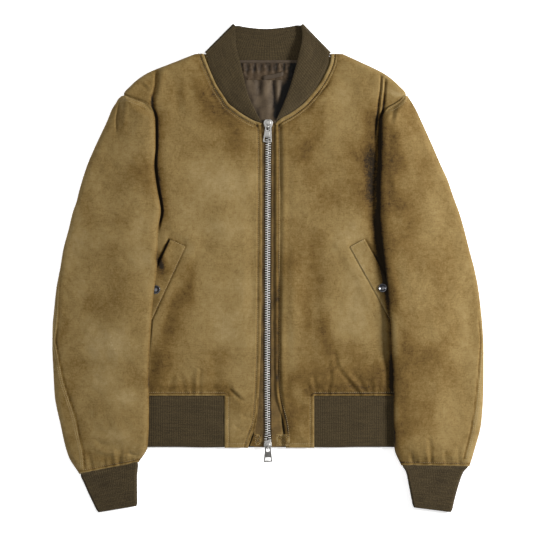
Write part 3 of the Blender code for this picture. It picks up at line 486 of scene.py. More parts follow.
def washed_and_shaded(x, y, seed):
    """How washing left the cloth at each point, from dark at -1 to faded at +1, with two patches of
    painted shade.
    """
    bent_x = x + undulation(x, y, 60, 4.5, seed)
    bent_y = y + undulation(x, y, 60, 4.5, seed + 1)
    tone = np.zeros(np.shape(x))
    for patch in WASH_AND_SHADE_PATCHES:
        turn = math.radians(patch["turn"])
        off_x = bent_x - patch["x"]
        off_y = bent_y - patch["y"]
        across = off_x * math.cos(turn) + off_y * math.sin(turn)
        down = off_y * math.cos(turn) - off_x * math.sin(turn)
        tone += patch["tone"] * bell(np.hypot(across / patch["wide"], down / patch["long"]), 1.0)
    return tone + undulation(x, y, 60, 0.07, seed + 2) + undulation(x, y, 18, 0.03, seed + 3)


def softened(tone):
    """The tone with its darkest part held back, so overlapping patches don't turn black."""
    return np.maximum(tone, -0.65) - 0.3 * (1.0 - np.exp(-np.clip(-0.65 - tone, 0, 9) / 0.3))


print("wash patches:", len(WASH_AND_SHADE_PATCHES))

# %% [markdown]
# ## Shared effects for the materials
#
# The weave, the knit and the fading are used on several pieces. Each is a node group, built once
# and placed in a material with its own numbers, so a change in one place reaches all the cloth.
# A `Wire` is an output socket that can be added and multiplied like a number. Each such step
# places a Math node, so the nodes can be read here as a sum.

# %% Node helpers
class Wire:
    """A node's output that takes part in sums: each step places a Math node in its tree."""

    def __init__(self, socket):
        self.socket = socket

    def __add__(self, other):
        return maths("ADD", self, other)

    def __radd__(self, other):
        return maths("ADD", other, self)

    def __sub__(self, other):
        return maths("SUBTRACT", self, other)

    def __rsub__(self, other):
        return maths("SUBTRACT", other, self)

    def __mul__(self, other):
        return maths("MULTIPLY", self, other)

    def __truediv__(self, other):
        return maths("DIVIDE", self, other)

    def __rtruediv__(self, other):
        return maths("DIVIDE", other, self)


def add_node(tree, kind, inputs=None, **settings):
    """A node with its settings and inputs: a value is set, and a Wire is joined."""
    made = tree.nodes.new(kind)
    for key, value in settings.items():
        setattr(made, key, value)
    for key, value in (inputs or {}).items():
        if isinstance(value, Wire):
            tree.links.new(value.socket, made.inputs[key])
        else:
            made.inputs[key].default_value = value
    return made


def outputs(node):
    """All of a node's outputs as Wires, by name."""
    return {socket.name: Wire(socket) for socket in node.outputs}


def maths(operation, a, b=0.0):
    """A Math node's output. At least one of the two inputs is a Wire."""
    tree = (a if isinstance(a, Wire) else b).socket.id_data
    return Wire(add_node(tree, "ShaderNodeMath", {0: a, 1: b}, operation=operation).outputs[0])


def noise(tree, vector, scale, detail, distortion=0.0):
    """Noise of one scale."""
    return Wire(add_node(tree, "ShaderNodeTexNoise", {
        "Vector": vector, "Scale": scale, "Detail": detail, "Distortion": distortion}).outputs[0])


def stretched_noise(tree, vector, scale, detail=2.0):
    """Noise that is drawn out along an axis, as threads are."""
    mapping = add_node(tree, "ShaderNodeMapping", {"Vector": vector, "Scale": scale})
    return noise(tree, Wire(mapping.outputs[0]), 1.0, detail)


def axes(tree, vector):
    """The three parts of a place."""
    node = add_node(tree, "ShaderNodeSeparateXYZ", {0: vector})
    return [Wire(socket) for socket in node.outputs]


def new_group(name, inputs, results):
    """An empty node group with named number and vector sockets, and its inputs as Wires."""
    group = bpy.data.node_groups.new(name, "ShaderNodeTree")
    for socket, value in inputs.items():
        kind = "NodeSocketVector" if value is None else "NodeSocketFloat"
        made = group.interface.new_socket(name=socket, in_out="INPUT", socket_type=kind)
        if value is not None:
            made.default_value = value
    for socket in results:
        group.interface.new_socket(name=socket, in_out="OUTPUT", socket_type="NodeSocketFloat")
    return group, outputs(group.nodes.new("NodeGroupInput"))


def close_group(group, **results):
    """Joins a group's results to its output sockets."""
    add_node(group, "NodeGroupOutput", results)
    return group


def make_weave_group():
    """Plain weave with thick and thin threads: a tone that varies, and a height."""
    group, given = new_group("slubby_weave", {"Vector": None, "Thread": 0.0007}, ("Tone", "Height"))
    tone = 0.0
    for scale, detail, share in (((90.0, 560.0, 1.0), 4.0, 0.24), ((640.0, 110.0, 1.0), 3.0, 0.14),
                                 ((400.0, 400.0, 1.0), 3.0, 0.32), ((17.0, 230.0, 1.0), 2.0, 0.06),
                                 ((190.0, 150.0, 1.0), 5.0, 0.24)):
        tone = tone + stretched_noise(group, given["Vector"], scale, detail) * share
    pace = math.tau / given["Thread"]
    across, down, _ = axes(group, given["Vector"])
    threads = maths("SINE", across * pace) * maths("SINE", down * pace)
    return close_group(group, Tone=tone, Height=threads * 0.25 + tone)


def make_mottle_group():
    """Uneven fading at two sizes and fine cracks, added to a tone that the cloth's points carry."""
    group, given = new_group("uneven_fade", {"Vector": None, "Tone": 0.0, "Amount": 1.0}, ("Tone",))
    broad = noise(group, given["Vector"], 34.0, 4.0, 0.8)
    fine = noise(group, given["Vector"], 150.0, 4.0, 0.6)
    path = noise(group, given["Vector"], 38.0, 5.0, 1.6)
    crazing = maths("MAXIMUM", 1.0 - maths("ABSOLUTE", path - 0.5) * 26.0, 0.0)
    spots = (broad - 0.5) * 0.8 + (fine - 0.5) - crazing * 0.34
    return close_group(group, Tone=given["Tone"] + spots * given["Amount"])


def make_knit_group():
    """Rows of small V-shaped stitches, that run along each rib."""
    group, given = new_group(
        "rib_stitches", {"Vector": None, "Rib": 0.0036, "Row": 0.0014}, ("Height", "Fleck"))
    across, down, _ = axes(group, given["Vector"])
    slope = maths("PINGPONG", across / given["Rib"], 0.25) * 2.0
    wave = maths("SINE", (down / given["Row"] + slope) * math.tau)
    fleck = noise(group, given["Vector"], 520.0, 3.0)
    return close_group(group, Height=wave * 0.5 + fleck, Fleck=fleck)


WEAVE = make_weave_group()
MOTTLE = make_mottle_group()
KNIT = make_knit_group()
print("node groups:", [group.name for group in bpy.data.node_groups])

# %% [markdown]
# ## Materials for the cloth
#
# Colour comes from a ramp: the tone kept on the points, the fading and the weave are added up,
# and the sum picks a place between dark and pale. The same weave gives the small relief, through
# a Bump node. An image of cloth could do the same, but it would stretch over folds and repeat.

# %% Materials for the cloth
def use_group(tree, group, **inputs):
    """A node group's outputs, once it is placed in a material."""
    return outputs(add_node(tree, "ShaderNodeGroup", inputs, node_tree=group))


def cloth_place(tree):
    """The place on the flat cloth."""
    return Wire(add_node(tree, "ShaderNodeUVMap", uv_map="UVMap").outputs[0])


def mark(tree, name):
    """A tone that the cloth's points carry."""
    return outputs(add_node(tree, "ShaderNodeAttribute", attribute_name=name))["Fac"]


def colour(tree, shader, shade, stops):
    """Colours a shader through a ramp: each stop is a place and a colour."""
    made = add_node(tree, "ShaderNodeValToRGB", {"Fac": shade})
    while len(made.color_ramp.elements) < len(stops):
        made.color_ramp.elements.new(0.5)
    for element, (place, shown) in zip(made.color_ramp.elements, stops):
        element.position = place
        element.color = (*shown, 1.0)
    tree.links.new(made.outputs[0], shader.inputs["Base Color"])


def relief(tree, shader, height, distance, strength):
    """Joins a height to the shader's normal."""
    made = add_node(tree, "ShaderNodeBump",
                    {"Height": height, "Distance": distance, "Strength": strength})
    tree.links.new(made.outputs[0], shader.inputs["Normal"])


def shell_paint(name, stops, amount=0.55, thread=0.0007):
    """Washed shell cloth: slubby weave, faded tone and a matte sheen."""
    paint, tree, shader = new_paint(
        name, Roughness=0.7, Sheen_Weight=0.05, Sheen_Roughness=0.4, Specular_IOR_Level=0.15)
    cloth = cloth_place(tree)
    weave = use_group(tree, WEAVE, Vector=cloth, Thread=thread)
    # The points' tone holds the faded patches and painted shade: sleeve shadows, dark folds, grooves,
    # pocket mouths and the tape under the teeth.
    faded = use_group(tree, MOTTLE, Vector=cloth, Tone=mark(tree, "wash_and_shade"), Amount=amount)["Tone"]
    colour(tree, shader, faded * 0.36 + 0.5 + (weave["Tone"] - 0.5) * 0.85, stops)
    relief(tree, shader, weave["Height"], 0.0004, 0.7)
    return paint


def rib_paint(name, fleck):
    """Rib knit: painted shade darkens the valleys between the ribs, with a heathered yarn."""
    paint, tree, shader = new_paint(
        name, Roughness=0.92, Sheen_Weight=0.05, Sheen_Roughness=0.6, Specular_IOR_Level=0.10)
    cloth = cloth_place(tree)
    knit = use_group(tree, KNIT, Vector=cloth)
    # Painted shade: the tone follows each rib's height, so the valleys are darker than the ridges.
    faded = use_group(tree, MOTTLE, Vector=cloth, Tone=mark(tree, "rib"), Amount=0.5)["Tone"]
    rows = stretched_noise(tree, cloth, (30.0, 460.0, 1.0))
    flecks = (knit["Fleck"] + rows * 0.6 - 0.8) * fleck
    colour(tree, shader, faded * 0.32 + (flecks + 0.31), RIB_STOPS)
    relief(tree, shader, knit["Height"], 0.0005, 0.8)
    return paint


def satin_paint(name, stops):
    """Satin lining: smooth, with a slight shine, and darkened towards black by painted shade."""
    paint, tree, shader = new_paint(
        name, Roughness=0.6, Sheen_Weight=0.02, Specular_IOR_Level=0.14)
    cloth = cloth_place(tree)
    weave = use_group(tree, WEAVE, Vector=cloth, Thread=0.0004)
    faded = use_group(tree, MOTTLE, Vector=cloth, Tone=0.0, Amount=0.5)["Tone"]
    shade = faded * 0.4 + weave["Tone"] * 0.5 + 0.25 - mark(tree, "painted_shade")
    colour(tree, shader, shade, ((0.0, (0.002, 0.0015, 0.001)), *stops))
    relief(tree, shader, weave["Height"], 0.0002, 0.6)
    return paint


SHELL_STOPS = (
    (0.0, (0.012, 0.0065, 0.001)), (0.13, (0.064, 0.034, 0.005)), (0.3, (0.113, 0.066, 0.0145)),
    (0.55, (0.181, 0.122, 0.0425)), (0.8, (0.244, 0.178, 0.079)), (1.0, (0.44, 0.37, 0.235)),
)
TAPE_STOPS = (
    (0.0, (0.020, 0.011, 0.003)), (0.45, (0.120, 0.073, 0.022)), (0.75, (0.190, 0.128, 0.045)),
)
RIB_STOPS = (
    (0.1, (0.015, 0.0095, 0.0036)), (0.5, (0.038, 0.0262, 0.0105)), (0.95, (0.074, 0.052, 0.0225)),
)
shell = shell_paint("washed_shell", SHELL_STOPS)
knit_paint = rib_paint("rib_knit", 0.9)
cuff_paint = rib_paint("cuff_knit", 1.4)
# The lining and facing colours are their own dark brown, kept darker still as painted shade for the neck
# opening under the raised collar.
satin = satin_paint("satin", ((0.25, (0.032, 0.021, 0.0115)), (0.75, (0.088, 0.063, 0.038))))
dark_satin = satin_paint("dark_satin", ((0.2, (0.020, 0.0125, 0.0065)), (0.8, (0.072, 0.046, 0.024))))
worn_satin = satin_paint("worn_satin", ((0.2, (0.030, 0.021, 0.0135)), (0.8, (0.068, 0.049, 0.032))))
tape_paint = shell_paint("zip_tape_cloth", TAPE_STOPS, 0.3, 0.0009)
print("cloth materials are ready")

# %% [markdown]
# ## The two fronts
#
# Each front is one padded panel. Its edge at the neck and zip is a narrow flat strip that ends in
# a stitched groove, and past the groove the padding swells up. At the hem the panel is gathered
# onto the rib, but a plain block of cloth carries on down beside the zip. Cloth simulation could
# puff such a panel, but the few creases that show are known, so they are laid one by one. The
# heights are worked out from distances to the seams, which keeps every strip at its true width.

# %% Fronts
FRONT_CREASES = {
    "right": table(
        "path  width  height  held",
        (((165, 322), (171, 300), (174, 262)), 6, 1.2, 1),
        (((150, 318), (146, 280), (140, 230)), 9, -0.8, 0),
        (((136, 312), (134, 280), (132, 240)), 8, 0.8, 0),
        (((64, -190), (60, -196), (45, -210), (32, -215)), 2.6, -1.8, 0),
        (((60, -184), (52, -196), (38, -204)), 4, 1.2, 0),
        (((45, -235), (33, -239), (23, -238)), 2.6, -1.1, 0),
        (((57, -249), (48, -256), (38, -259)), 2.6, -1.0, 0),
        (((45, -270), (34, -265), (20, -250)), 2.6, -1.2, 0),
        (((116, -203), (115, -180), (112, -150)), 2.0, 1.0, 1),
        (((110, -203), (110, -184), (106, -150)), 2.4, -0.9, 1),
        (((122, -203), (124, -184), (122, -160)), 2.6, -0.7, 1),
        (((134, -203), (136, -190), (140, -170)), 3.4, -1.0, 1),
        (((86, -203), (84, -170), (92, -120)), 9, -1.2, 1),
        (((160, -203), (158, -188), (150, -170)), 4, -0.9, 1),
        (((138, 20), (150, -30), (166, -90), (176, -150)), 14, -1.4, 0),
        (((60, 190), (74, 100), (60, 0)), 24, 0.9, 0), (((28, 120), (26, 0), (30, -120)), 9, -0.9, 0),
    ),
    "left": table(
        "path  width  height  held",
        (((160, 300), (162, 200), (164, 60), (170, -60), (180, -160)), 10, -1.6, 0),
        (((103, 303), (88, 286), (70, 272)), 2.2, -1.8, 0), (((98, 308), (84, 292)), 3.2, 1.0, 0),
        (((44, 222), (42, 214)), 2.2, -1.1, 0), (((48, 226), (47, 216)), 2.2, -0.9, 0),
        (((96, -203), (100, -180), (96, -140)), 2.6, -1.3, 1),
        (((102, -203), (106, -176), (106, -150)), 2.4, 0.8, 1),
        (((78, -203), (75, -186), (72, -168)), 3.2, -1.3, 1),
        (((72, -203), (69, -184), (66, -170)), 3.0, 0.9, 1),
        (((152, -200), (136, -180), (118, -158), (112, -142)), 2.6, 1.3, 1),
        (((146, -203), (128, -182), (110, -158), (104, -120)), 3.0, -1.6, 1),
        (((160, -203), (148, -184), (132, -160)), 3.2, -1.2, 1),
        (((166, -203), (166, -190), (160, -176)), 3.0, -1.2, 1),
        (((176, -203), (178, -188), (180, -170)), 2.4, -1.0, 1),
        (((171, -203), (172, -188), (172, -172)), 2.2, 0.7, 1),
        (((60, 100), (76, 20), (66, -100), (60, -170)), 14, -1.3, 0),
        (((40, 60), (42, -40), (40, -150)), 9, 1.1, 0),
        (((56, -212), (48, -236), (46, -262)), 6, -0.9, 0),
    ),
}
# Deep folds that run from the shoulder seam into the gap beside the sleeve.
SLIT_FOLDS = {
    "right": table(
        "path  width  height  held  lean",
        (((179.6, 322), (181, 293), (186, 272), (186, 258), (183, 244), (181, 225)), 3.4, -3.6, 1, -0.6),
        (((203, 300), (196, 295), (188, 289)), 2.2, 1.3, 0, 0),
        (((206, 295), (198, 290), (190, 283)), 2.2, -1.2, 0, 0),
    ),
    "left": table(
        "path  width  height  held  lean",
        (((181.3, 308), (180.2, 286), (177.6, 268), (173.6, 229), (171, 196)), 1.9, -2.8, 1, 0),
        (((188, 302), (186.6, 281), (185, 261), (182.4, 237), (180.5, 190)), 2.2, -3.3, 1, 0),
        (((185, 306), (183.5, 283), (181.2, 262), (178, 232), (176, 206)), 1.7, 0.8, 1, 0),
    ),
}
# The roll of cloth beside the zip on the jacket's left front, and the fold low on the right one.
ZIP_FOLD = ((18.4, 228), (19.2, 190), (19.8, 120), (19.2, 40), (18.2, -40), (17.6, -80), (17.2, -130),
            (17.2, -165), (19.6, -200), (22.4, -226), (25.6, -250))
FOOT_FOLD = ((17.0, -210), (17.5, -230), (20.8, -243), (23.5, -258), (31, -276))
# Stitched grooves along a front's edges. A right front's zip edge is pressed in deeper.
FRONT_GROOVES = table(
    "seam  offset  depth  width",
    ("neck", 5.6, 1.5, 1.1), ("neck", 9.6, 0.7, 1.0), ("zip", 6.2, 0.4, 1.3), ("hem", 5.6, 1.0, 1.3),
    ("block", 6.6, 0.8, 1.3), ("foot", 6.6, 0.5, 1.3),
)
# Puckers along the same edges: a tuck's reach, height and the step to the next one.
FRONT_PUCKERS = table(
    "seam  offset  reach  height  pitch",
    ("hem", 5.6, 13.0, 0.9, 7.0), ("hem", 5.6, 6.0, 0.5, 3.2), ("neck", 9.4, 6.0, 0.45, 9.0),
    ("neck", 5.4, 2.0, 0.25, 4.0), ("zip", 6.0, 7.0, 0.35, 12.0), ("block", 6.6, 4.0, 0.3, 8.0),
)
SHELL_SHEET = 1.6
FAR = 99.0
SLIT_TOP = 262.0
NECK_TURN = 233.0
SHOULDER = 343.0
FRONT_SEAMS = {}


def front_seams(side):
    """The lines of a front's edges, from its table."""
    outer = "outer_" + side
    inner = "inner_" + side
    block = BLOCK_EDGE[side]
    return {
        "neck": edge_path(FRONT_ROWS, inner, SHOULDER, NECK_TURN, 3, NECK_GAP),
        "zip": edge_path(FRONT_ROWS, inner, NECK_TURN, FOOT, 9),
        "outer": edge_path(FRONT_ROWS, outer, SHOULDER, HEM, 4),
        "hem": [(block, HEM), (float(read(FRONT_ROWS, outer, HEM)), HEM)],
        "block": [(block, HEM), (block, FOOT)],
        "foot": [(float(read(FRONT_ROWS, inner, FOOT)), FOOT), (block, FOOT)],
    }


def welt_axes(side):
    """A pocket welt's upper inner corner, and the directions down it and across it."""
    corner, run = (np.array(WELTS[side][key], float) for key in ("corner", "run"))
    run /= np.hypot(*run)
    return corner, run, np.array((-run[1], run[0]))


def off_welt(side, x, y):
    """0 on the pocket welt, rising to 1 a little way off it, and distances from its open edge,
    from its outline, and across it."""
    corner, run, square = welt_axes(side)
    down = (x - corner[0]) * run[0] + (y - corner[1]) * run[1]
    across = (x - corner[0]) * square[0] + (y - corner[1]) * square[1]
    past = np.maximum(np.maximum(-down, down - WELT_LENGTH), np.maximum(-across, across - WELT_WIDTH))
    beside = np.where((down > 2) & (down < WELT_LENGTH - 2), np.abs(across - WELT_WIDTH - 1.0), FAR)
    return ease((past - 1.0) / 16.0), beside, past, across


def front_height(side, x, y):
    """Height of a front's upper face at points given by distance from the centre line."""
    right = side == "right"
    seed = 11 if right else 47
    seams = {name: near_line(x, y, path) for name, path in FRONT_SEAMS[side].items()}
    away = {name: seam[0] for name, seam in seams.items()}
    away["hem"] = np.where(y < HEM - 0.1, FAR, away["hem"])
    away["block"] = np.where(y > HEM + 0.1, FAR, away["block"])
    free_edge = np.minimum.reduce([away[name] for name in ("neck", "zip", "hem", "block", "foot")])
    past_sleeve = np.where(y < SLIT_TOP, x - read(SLEEVE_ROWS[side], "inner", y), -FAR)
    clear = ease((-past_sleeve - 3.0) / 18.0)
    welt, open_edge, past_welt, across_welt = off_welt(side, x, y)

    swell = 1.3 * ease((free_edge - 6.0) / 24.0)
    swell += undulation(x, y, 78, 0.42, seed) * ease((free_edge - 4) / 20)
    swell += undulation(x, y, 26, 0.13, seed + 1) + undulation(x, y, 11, 0.045, seed + 2)
    height = FRONT_TOP - 0.5 + (swell + creased(x, y, FRONT_CREASES[side])) * clear * welt
    height += creased(x, y, SLIT_FOLDS[side])
    for row in FRONT_GROOVES:
        depth = 1.1 if right and row["seam"] == "zip" else row["depth"]
        height += groove(away[row["seam"]], row["offset"], depth, row["width"])
    gathers = clear * welt * (away["hem"] < 90)
    beside_zip = (y < 225) & (y > FOOT + 8)
    shares = (gathers, gathers, clear, 1.0, beside_zip, away["block"] < 90)
    for n, (row, share) in enumerate(zip(FRONT_PUCKERS, shares)):
        name = row["seam"]
        height += share * puckers(away[name], seams[name][1], row["offset"], row["reach"],
                                  row["height"], row["pitch"], seed + 3 + n)

    if right:
        height -= 1.6 * bell(near_line(x, y, FOOT_FOLD)[0], 1.3) * (y < -205)
        valley = 3.8 * ease((past_sleeve + 4.2) / 2.4)
        slit_foot = ease((y - 45.0) / 50.0)
    else:
        fold = near_line(x, y, ZIP_FOLD)[0]
        foot_fade = ease((y + 262.0) / 60.0)
        depth = (1.0 + 1.3 * ease((y - 90.0) / 60.0) + 2.2 * ease((20.0 - y) / 70.0)) * foot_fade
        height -= depth * bell(fold, 2.6)
        height += 0.8 * np.where(x > 19, bell(fold - 7.0, 4.5), 0.0) * foot_fade
        reach = 9.0 - 5.5 * ease((y - 130.0) / 90.0)
        valley = 3.6 * bell(np.clip(past_sleeve + 2.0, -FAR, 0), reach)
        slit_foot = ease((y + 230.0) / 60.0)
    valley = valley * (1.0 - ease((past_sleeve - 4.0) / 9.0))
    height -= valley * ease((SLIT_TOP - y) / 22.0) * slit_foot * (0.35 + 0.65 * welt)
    height -= (2.6 if right else 1.2) * bell(open_edge, 2.4)
    bank = 1.7 * ease((past_welt + 0.5) / 2.2) * ease(1.0 - (past_welt - 4.0) / 22.0)
    height += bank * ease((9.0 - across_welt) / 12.0)
    under_sleeve = 9.1
    height = np.where(past_sleeve > -1.0, np.minimum(height, under_sleeve), height)
    height -= turned(free_edge, 1.8, 0.9)
    rim = np.clip(away["outer"] / 9.0, 0, 1)
    rim_foot = 4.4
    height = rim_foot + (height - rim_foot) * np.sqrt(1.0 - (1.0 - rim) ** 2 * 0.999)
    under_collar = 8.6
    height -= ease((y - 333.0) / 10.0) * np.clip(height - under_collar, 0, 9)
    return np.maximum(height, 6.2 - 1.8 * (1 - rim)), away


def painted_slit_shade(side, x, y, pocket=1.0):
    """Painted shade: how much darker the cloth is painted in the sleeve's shadow beside it, and in a
    pocket's dark mouth.
    """
    off_slit = -np.clip(x - read(SLEEVE_ROWS[side], "inner", y) + 2.0, -FAR, 0)
    if side == "right":
        shade = 1.6 * bell(off_slit, 2.0) + 0.8 * bell(off_slit, 9.0, 1.5)
        shade = shade * 1.4 * ease((y - 50.0) / 50.0)
    else:
        reach = (4.0 + 7.5 * ease((y + 60.0) / 110.0)) * (1.0 - 0.7 * ease((y - 120.0) / 100.0))
        shade = 1.6 * bell(off_slit, reach) * ease((y + 235.0) / 60.0)
        shade = shade * (0.7 + 0.7 * ease((y + 60.0) / 60.0))
        reach = 11.0 + 14.0 * ease((y - 85.0) / 50.0) - 9.0 * ease((y - 165.0) / 50.0)
        wide = 0.75 * bell(off_slit, reach, 1.4) * (1.0 - 0.55 * bell(off_slit, 7.0))
        wide = wide + 1.1 * bell(off_slit, 2.6)
        shade = shade + (wide - shade) * ease((y - 50.0) / 75.0)
    pocket = pocket * (2.2 if side == "right" else 0.9)
    return shade * ease((260.0 - y) / 24.0) + pocket * bell(off_welt(side, x, y)[1], 2.2)


# Columns of points across a front: by the zip, on the block, the open cloth, beside the sleeve,
# under the sleeve, and on the rim.
FRONT_COLUMNS = (22, 19, 44, 13, 16, 7)
FINE_ZONE = 26.0


def front_column_places(side, heights):
    """Where a front's columns of points stand at each height: close together near seams."""
    outer = read(FRONT_ROWS, "outer_" + side, heights)
    inner = read(FRONT_ROWS, "inner_" + side, heights) + np.where(heights > NECK_TURN, NECK_GAP, 0.0)
    width = outer - inner
    low = heights < -160
    fine = np.minimum(FINE_ZONE, np.where(low, 0.6 * (BLOCK_EDGE[side] - inner), 0.3 * width))
    rim = np.minimum(10.0, 0.16 * width)
    block = np.where(low, BLOCK_EDGE[side], np.maximum(BLOCK_EDGE[side], inner + 0.3 * width))
    block = np.minimum(block, outer - rim - 0.25 * width)
    span = outer - rim - block
    by_sleeve = read(SLEEVE_ROWS[side], "inner", np.minimum(heights, 250.0))
    slit = np.clip((by_sleeve - 11.0 - block) / span, 0.3, 0.86)
    slit_end = np.clip((by_sleeve + 4.0 - block) / span, slit + 0.06, 0.94)
    stops = [inner, inner + fine, block, block + span * slit, block + span * slit_end, outer - rim, outer]
    columns = [start + (end - start) * n / count
               for start, end, count in zip(stops, stops[1:], FRONT_COLUMNS) for n in range(count)]
    return np.stack(columns + [outer], 1)


def row_places(*zones):
    """Heights of the rows, from zones of (top, bottom, spacing)."""
    places = []
    for top, bottom, step in zones:
        count = max(1, round((top - bottom) / step))
        places += [top + (bottom - top) * n / count for n in range(count)]
    return np.array(places + [zones[-1][1]])


def front_tone(side, x, y, away):
    """A front's tone: faded patches, rubbed seams, dark stitched lines and painted shade."""
    right = side == "right"
    seams = np.minimum.reduce([away[name] for name in ("neck", "hem", "block", "foot")])
    seams = np.minimum(seams, away["zip"] + np.where(away["neck"] < 7, 0.0, 1.6))
    tone = softened(washed_and_shaded(SIDES[side] * x, y, 300) - 0.5 * bell(away["hem"] - 11.0, 8.0))
    low = ease((10.0 - y) / 70.0) * ease((y + 210.0) / 40.0) * (side == "left")
    for distance, width, share in (
            (seams, 1.6, 0.3), (away["hem"] - 4.0, 0.9, -0.8), (away["neck"] - 12.0, 4.0, -0.35),
            (away["neck"] - 6.0, 0.9, -1.2), (away["neck"] - 2.5, 2.2, 0.15),
            (away["zip"] - (6.4 if right else 4.9), 0.9, -0.8 * (1.0 - 0.8 * low))):
        tone += share * bell(distance, width)
    tone -= 0.35 * bell(away["zip"], 5.0, 4) + 0.65 * low * bell(x - 15.0, 6.0, 4)
    # Painted shade: the sleeve's shadow on the front, and the dark mouth of the pocket.
    tone -= painted_slit_shade(side, x, y)
    # Painted shade in the troughs of the deep folds beside the sleeve.
    tone += (0.12 + 0.28 * ease((290 - y) / 24)) * np.minimum(creased(x, y, SLIT_FOLDS[side]), 0.0)
    # Painted shade in the groove round the pocket welt, where the front's padding meets it.
    past_welt = off_welt(side, x, y)[2]
    outline = 0.6 if right else 0.1
    return tone - outline * bell(np.clip(past_welt, 0, FAR), 1.3) * (past_welt > -1)


def make_front(side):
    """A front panel as a padded sheet."""
    FRONT_SEAMS[side] = front_seams(side)
    heights = row_places((343, 262, 1.9), (262, 228, 1.3), (228, -170, 3.0), (-170, HEM, 1.3),
                         (HEM, FOOT, 2.0))
    x = front_column_places(side, heights)
    y = np.repeat(heights[:, None], x.shape[1], 1)
    z, away = front_height(side, x, y)
    cut = np.zeros(x.shape, bool)
    cut[int(np.argmin(np.abs(heights - HEM))):, sum(FRONT_COLUMNS[:2]):] = True
    sign = SIDES[side]
    return sew("front_cloth_" + side, np.stack([sign * x, y, z], 2), np.stack([x, y], 2), SHELL_SHEET,
               (sign * 140, 0, FAR_BELOW), shell, "shell", "front_" + side, "back",
               {"wash_and_shade": front_tone(side, x, y, away)}, cut=cut)


fronts = {side: make_front(side) for side in SIDES}

# %% [markdown]
# ## The back
#
# The back panel lies face down on the floor, so its outside is flat. Only its rim shows, where it
# turns up to meet the fronts along the shoulders and the sides.

# %% Back
def make_back():
    """The back panel, flat on the floor with its rim turned up."""
    heights = row_places((343, 262, 4.0), (262, 80, 6.0), (80, HEM, 9.0))
    right = -read(FRONT_ROWS, "outer_right", heights)
    left = read(FRONT_ROWS, "outer_left", heights)
    shares = 0.5 - 0.5 * np.cos(math.pi * np.linspace(0, 1, 61))
    x = right[:, None] + (left - right)[:, None] * shares
    y = np.repeat(heights[:, None], len(shares), 1)
    away = np.minimum(*(near_line(x, y, np.stack([edge, heights], 1))[0] for edge in (right, left)))
    rim = 1.0 - np.clip(away / 9.0, 0, 1)
    z = (BACK_TOP - 0.1) * (1.0 - np.sqrt(1.0 - rim ** 2 * 0.999))
    neck = (np.abs(x) < 101) & (y > 333)
    sew("back_cloth", np.stack([x, y, z], 2), np.stack([x, y], 2), SHELL_SHEET, (0, 0, FAR_ABOVE),
        shell, "shell", "back", "hem_rib", {"wash_and_shade": washed_and_shaded(x, y, 320)}, cut=neck)


make_back()

# %% [markdown]
# ## Sleeves
#
# A sleeve is a padded tube, pressed flat. It is made as two sheets that meet along the fold on
# the body and along the outer edge, and both round over there. The under sheet rests on the
# front, slides off the side of the body and reaches the floor, so the whole sleeve drapes. A
# seam runs down near the outer edge of the upper sheet, with puckers where it was topstitched.

# %% Sleeves
SLEEVE_CREASES = {
    "right": table(
        "path  width  height  held",
        (((235.5, 275), (239.5, 258), (242, 240), (243, 212)), 2.0, -2.8, 1),
        (((226, 272), (228, 250), (232, 215)), 5.5, 1.3, 1),
        (((186, 190), (190, 172), (183, 158)), 3.0, -0.8, 0),
        (((262, 150), (276, 90), (290, 20)), 20, 0.5, 0),
        (((240, 60), (262, 0), (268, -60)), 20, -0.5, 0),
        (((212, 10), (220, -60), (232, -110)), 18, 0.5, 0),
        (((250, -250), (262, -262), (276, -264)), 6, -0.9, 0),
        (((282, -270), (268, -281), (252, -284), (224, -276)), 4.0, -1.5, 0),
        (((282, -286), (262, -295), (240, -297), (214, -290)), 3.6, 1.3, 0),
        (((240, -300), (228, -296), (212, -300), (200, -296)), 2.6, -1.5, 0),
        (((214, -272), (202, -276), (192, -272)), 3.4, -0.9, 0),
        (((196, -250), (214, -262), (238, -262)), 6, -0.8, 0),
        (((238, -313), (238, -302), (232, -290)), 3.0, -2.0, 1),
        (((244, -314), (246, -300), (246, -286)), 3.0, 1.4, 1),
        (((216, -312), (218, -300), (226, -288)), 3.0, -1.2, 1),
        (((226, -313), (226, -303), (222, -294)), 2.6, 1.0, 1),
        (((262, -318), (262, -306), (258, -296)), 3.0, -1.0, 1),
        (((282, -322), (286, -306), (290, -290)), 3.4, -1.2, 1),
    ),
    "left": table(
        "path  width  height  held",
        (((222, 274), (230, 262), (236, 250)), 3.0, -1.8, 1),
        (((205, 268), (200, 252), (196, 232)), 3.4, -1.6, 1),
        (((211, 268), (208, 250), (202, 226)), 4.0, 1.3, 1),
        (((192, 240), (196, 210), (190, 180)), 8, -1.2, 0),
        (((188, 150), (196, 130), (206, 120)), 6, -0.9, 0),
        (((246, 160), (262, 90), (278, 20)), 20, 0.5, 0),
        (((190, 10), (206, -10), (216, -34)), 6, -0.9, 0),
        (((194, -20), (206, -40), (212, -70)), 6, 0.6, 0),
        (((280, -60), (280, -140), (276, -220)), 18, 0.5, 0),
        (((240, -150), (250, -200), (256, -250)), 14, -0.6, 0),
        (((262, -313), (260, -290), (256, -262)), 3.2, -1.7, 1),
        (((256, -313), (254, -300), (250, -288)), 3.0, 1.0, 1),
        (((286, -314), (284, -300), (282, -288)), 3.0, -1.2, 1),
        (((232, -314), (230, -302), (226, -290)), 3.0, -1.0, 1),
        (((306, -314), (304, -298), (306, -282)), 3.0, -1.1, 1),
    ),
}
REAR_SEAM = {
    "right": ((331.2, 1.6), (335.2, -78), (339.7, -117), (326.4, -182), (308.8, -235),
              (295.4, -294), (293.8, -320)),
    "left": ((337.6, -81), (340.8, -117), (337.6, -166), (331.8, -220), (324.3, -264), (313.6, -306)),
}
SLEEVE_SHEET = 1.4
SLEEVE_PUFF = 3.0
SLEEVE_RIM = 11.0
FOLD_HEIGHT = 4.2


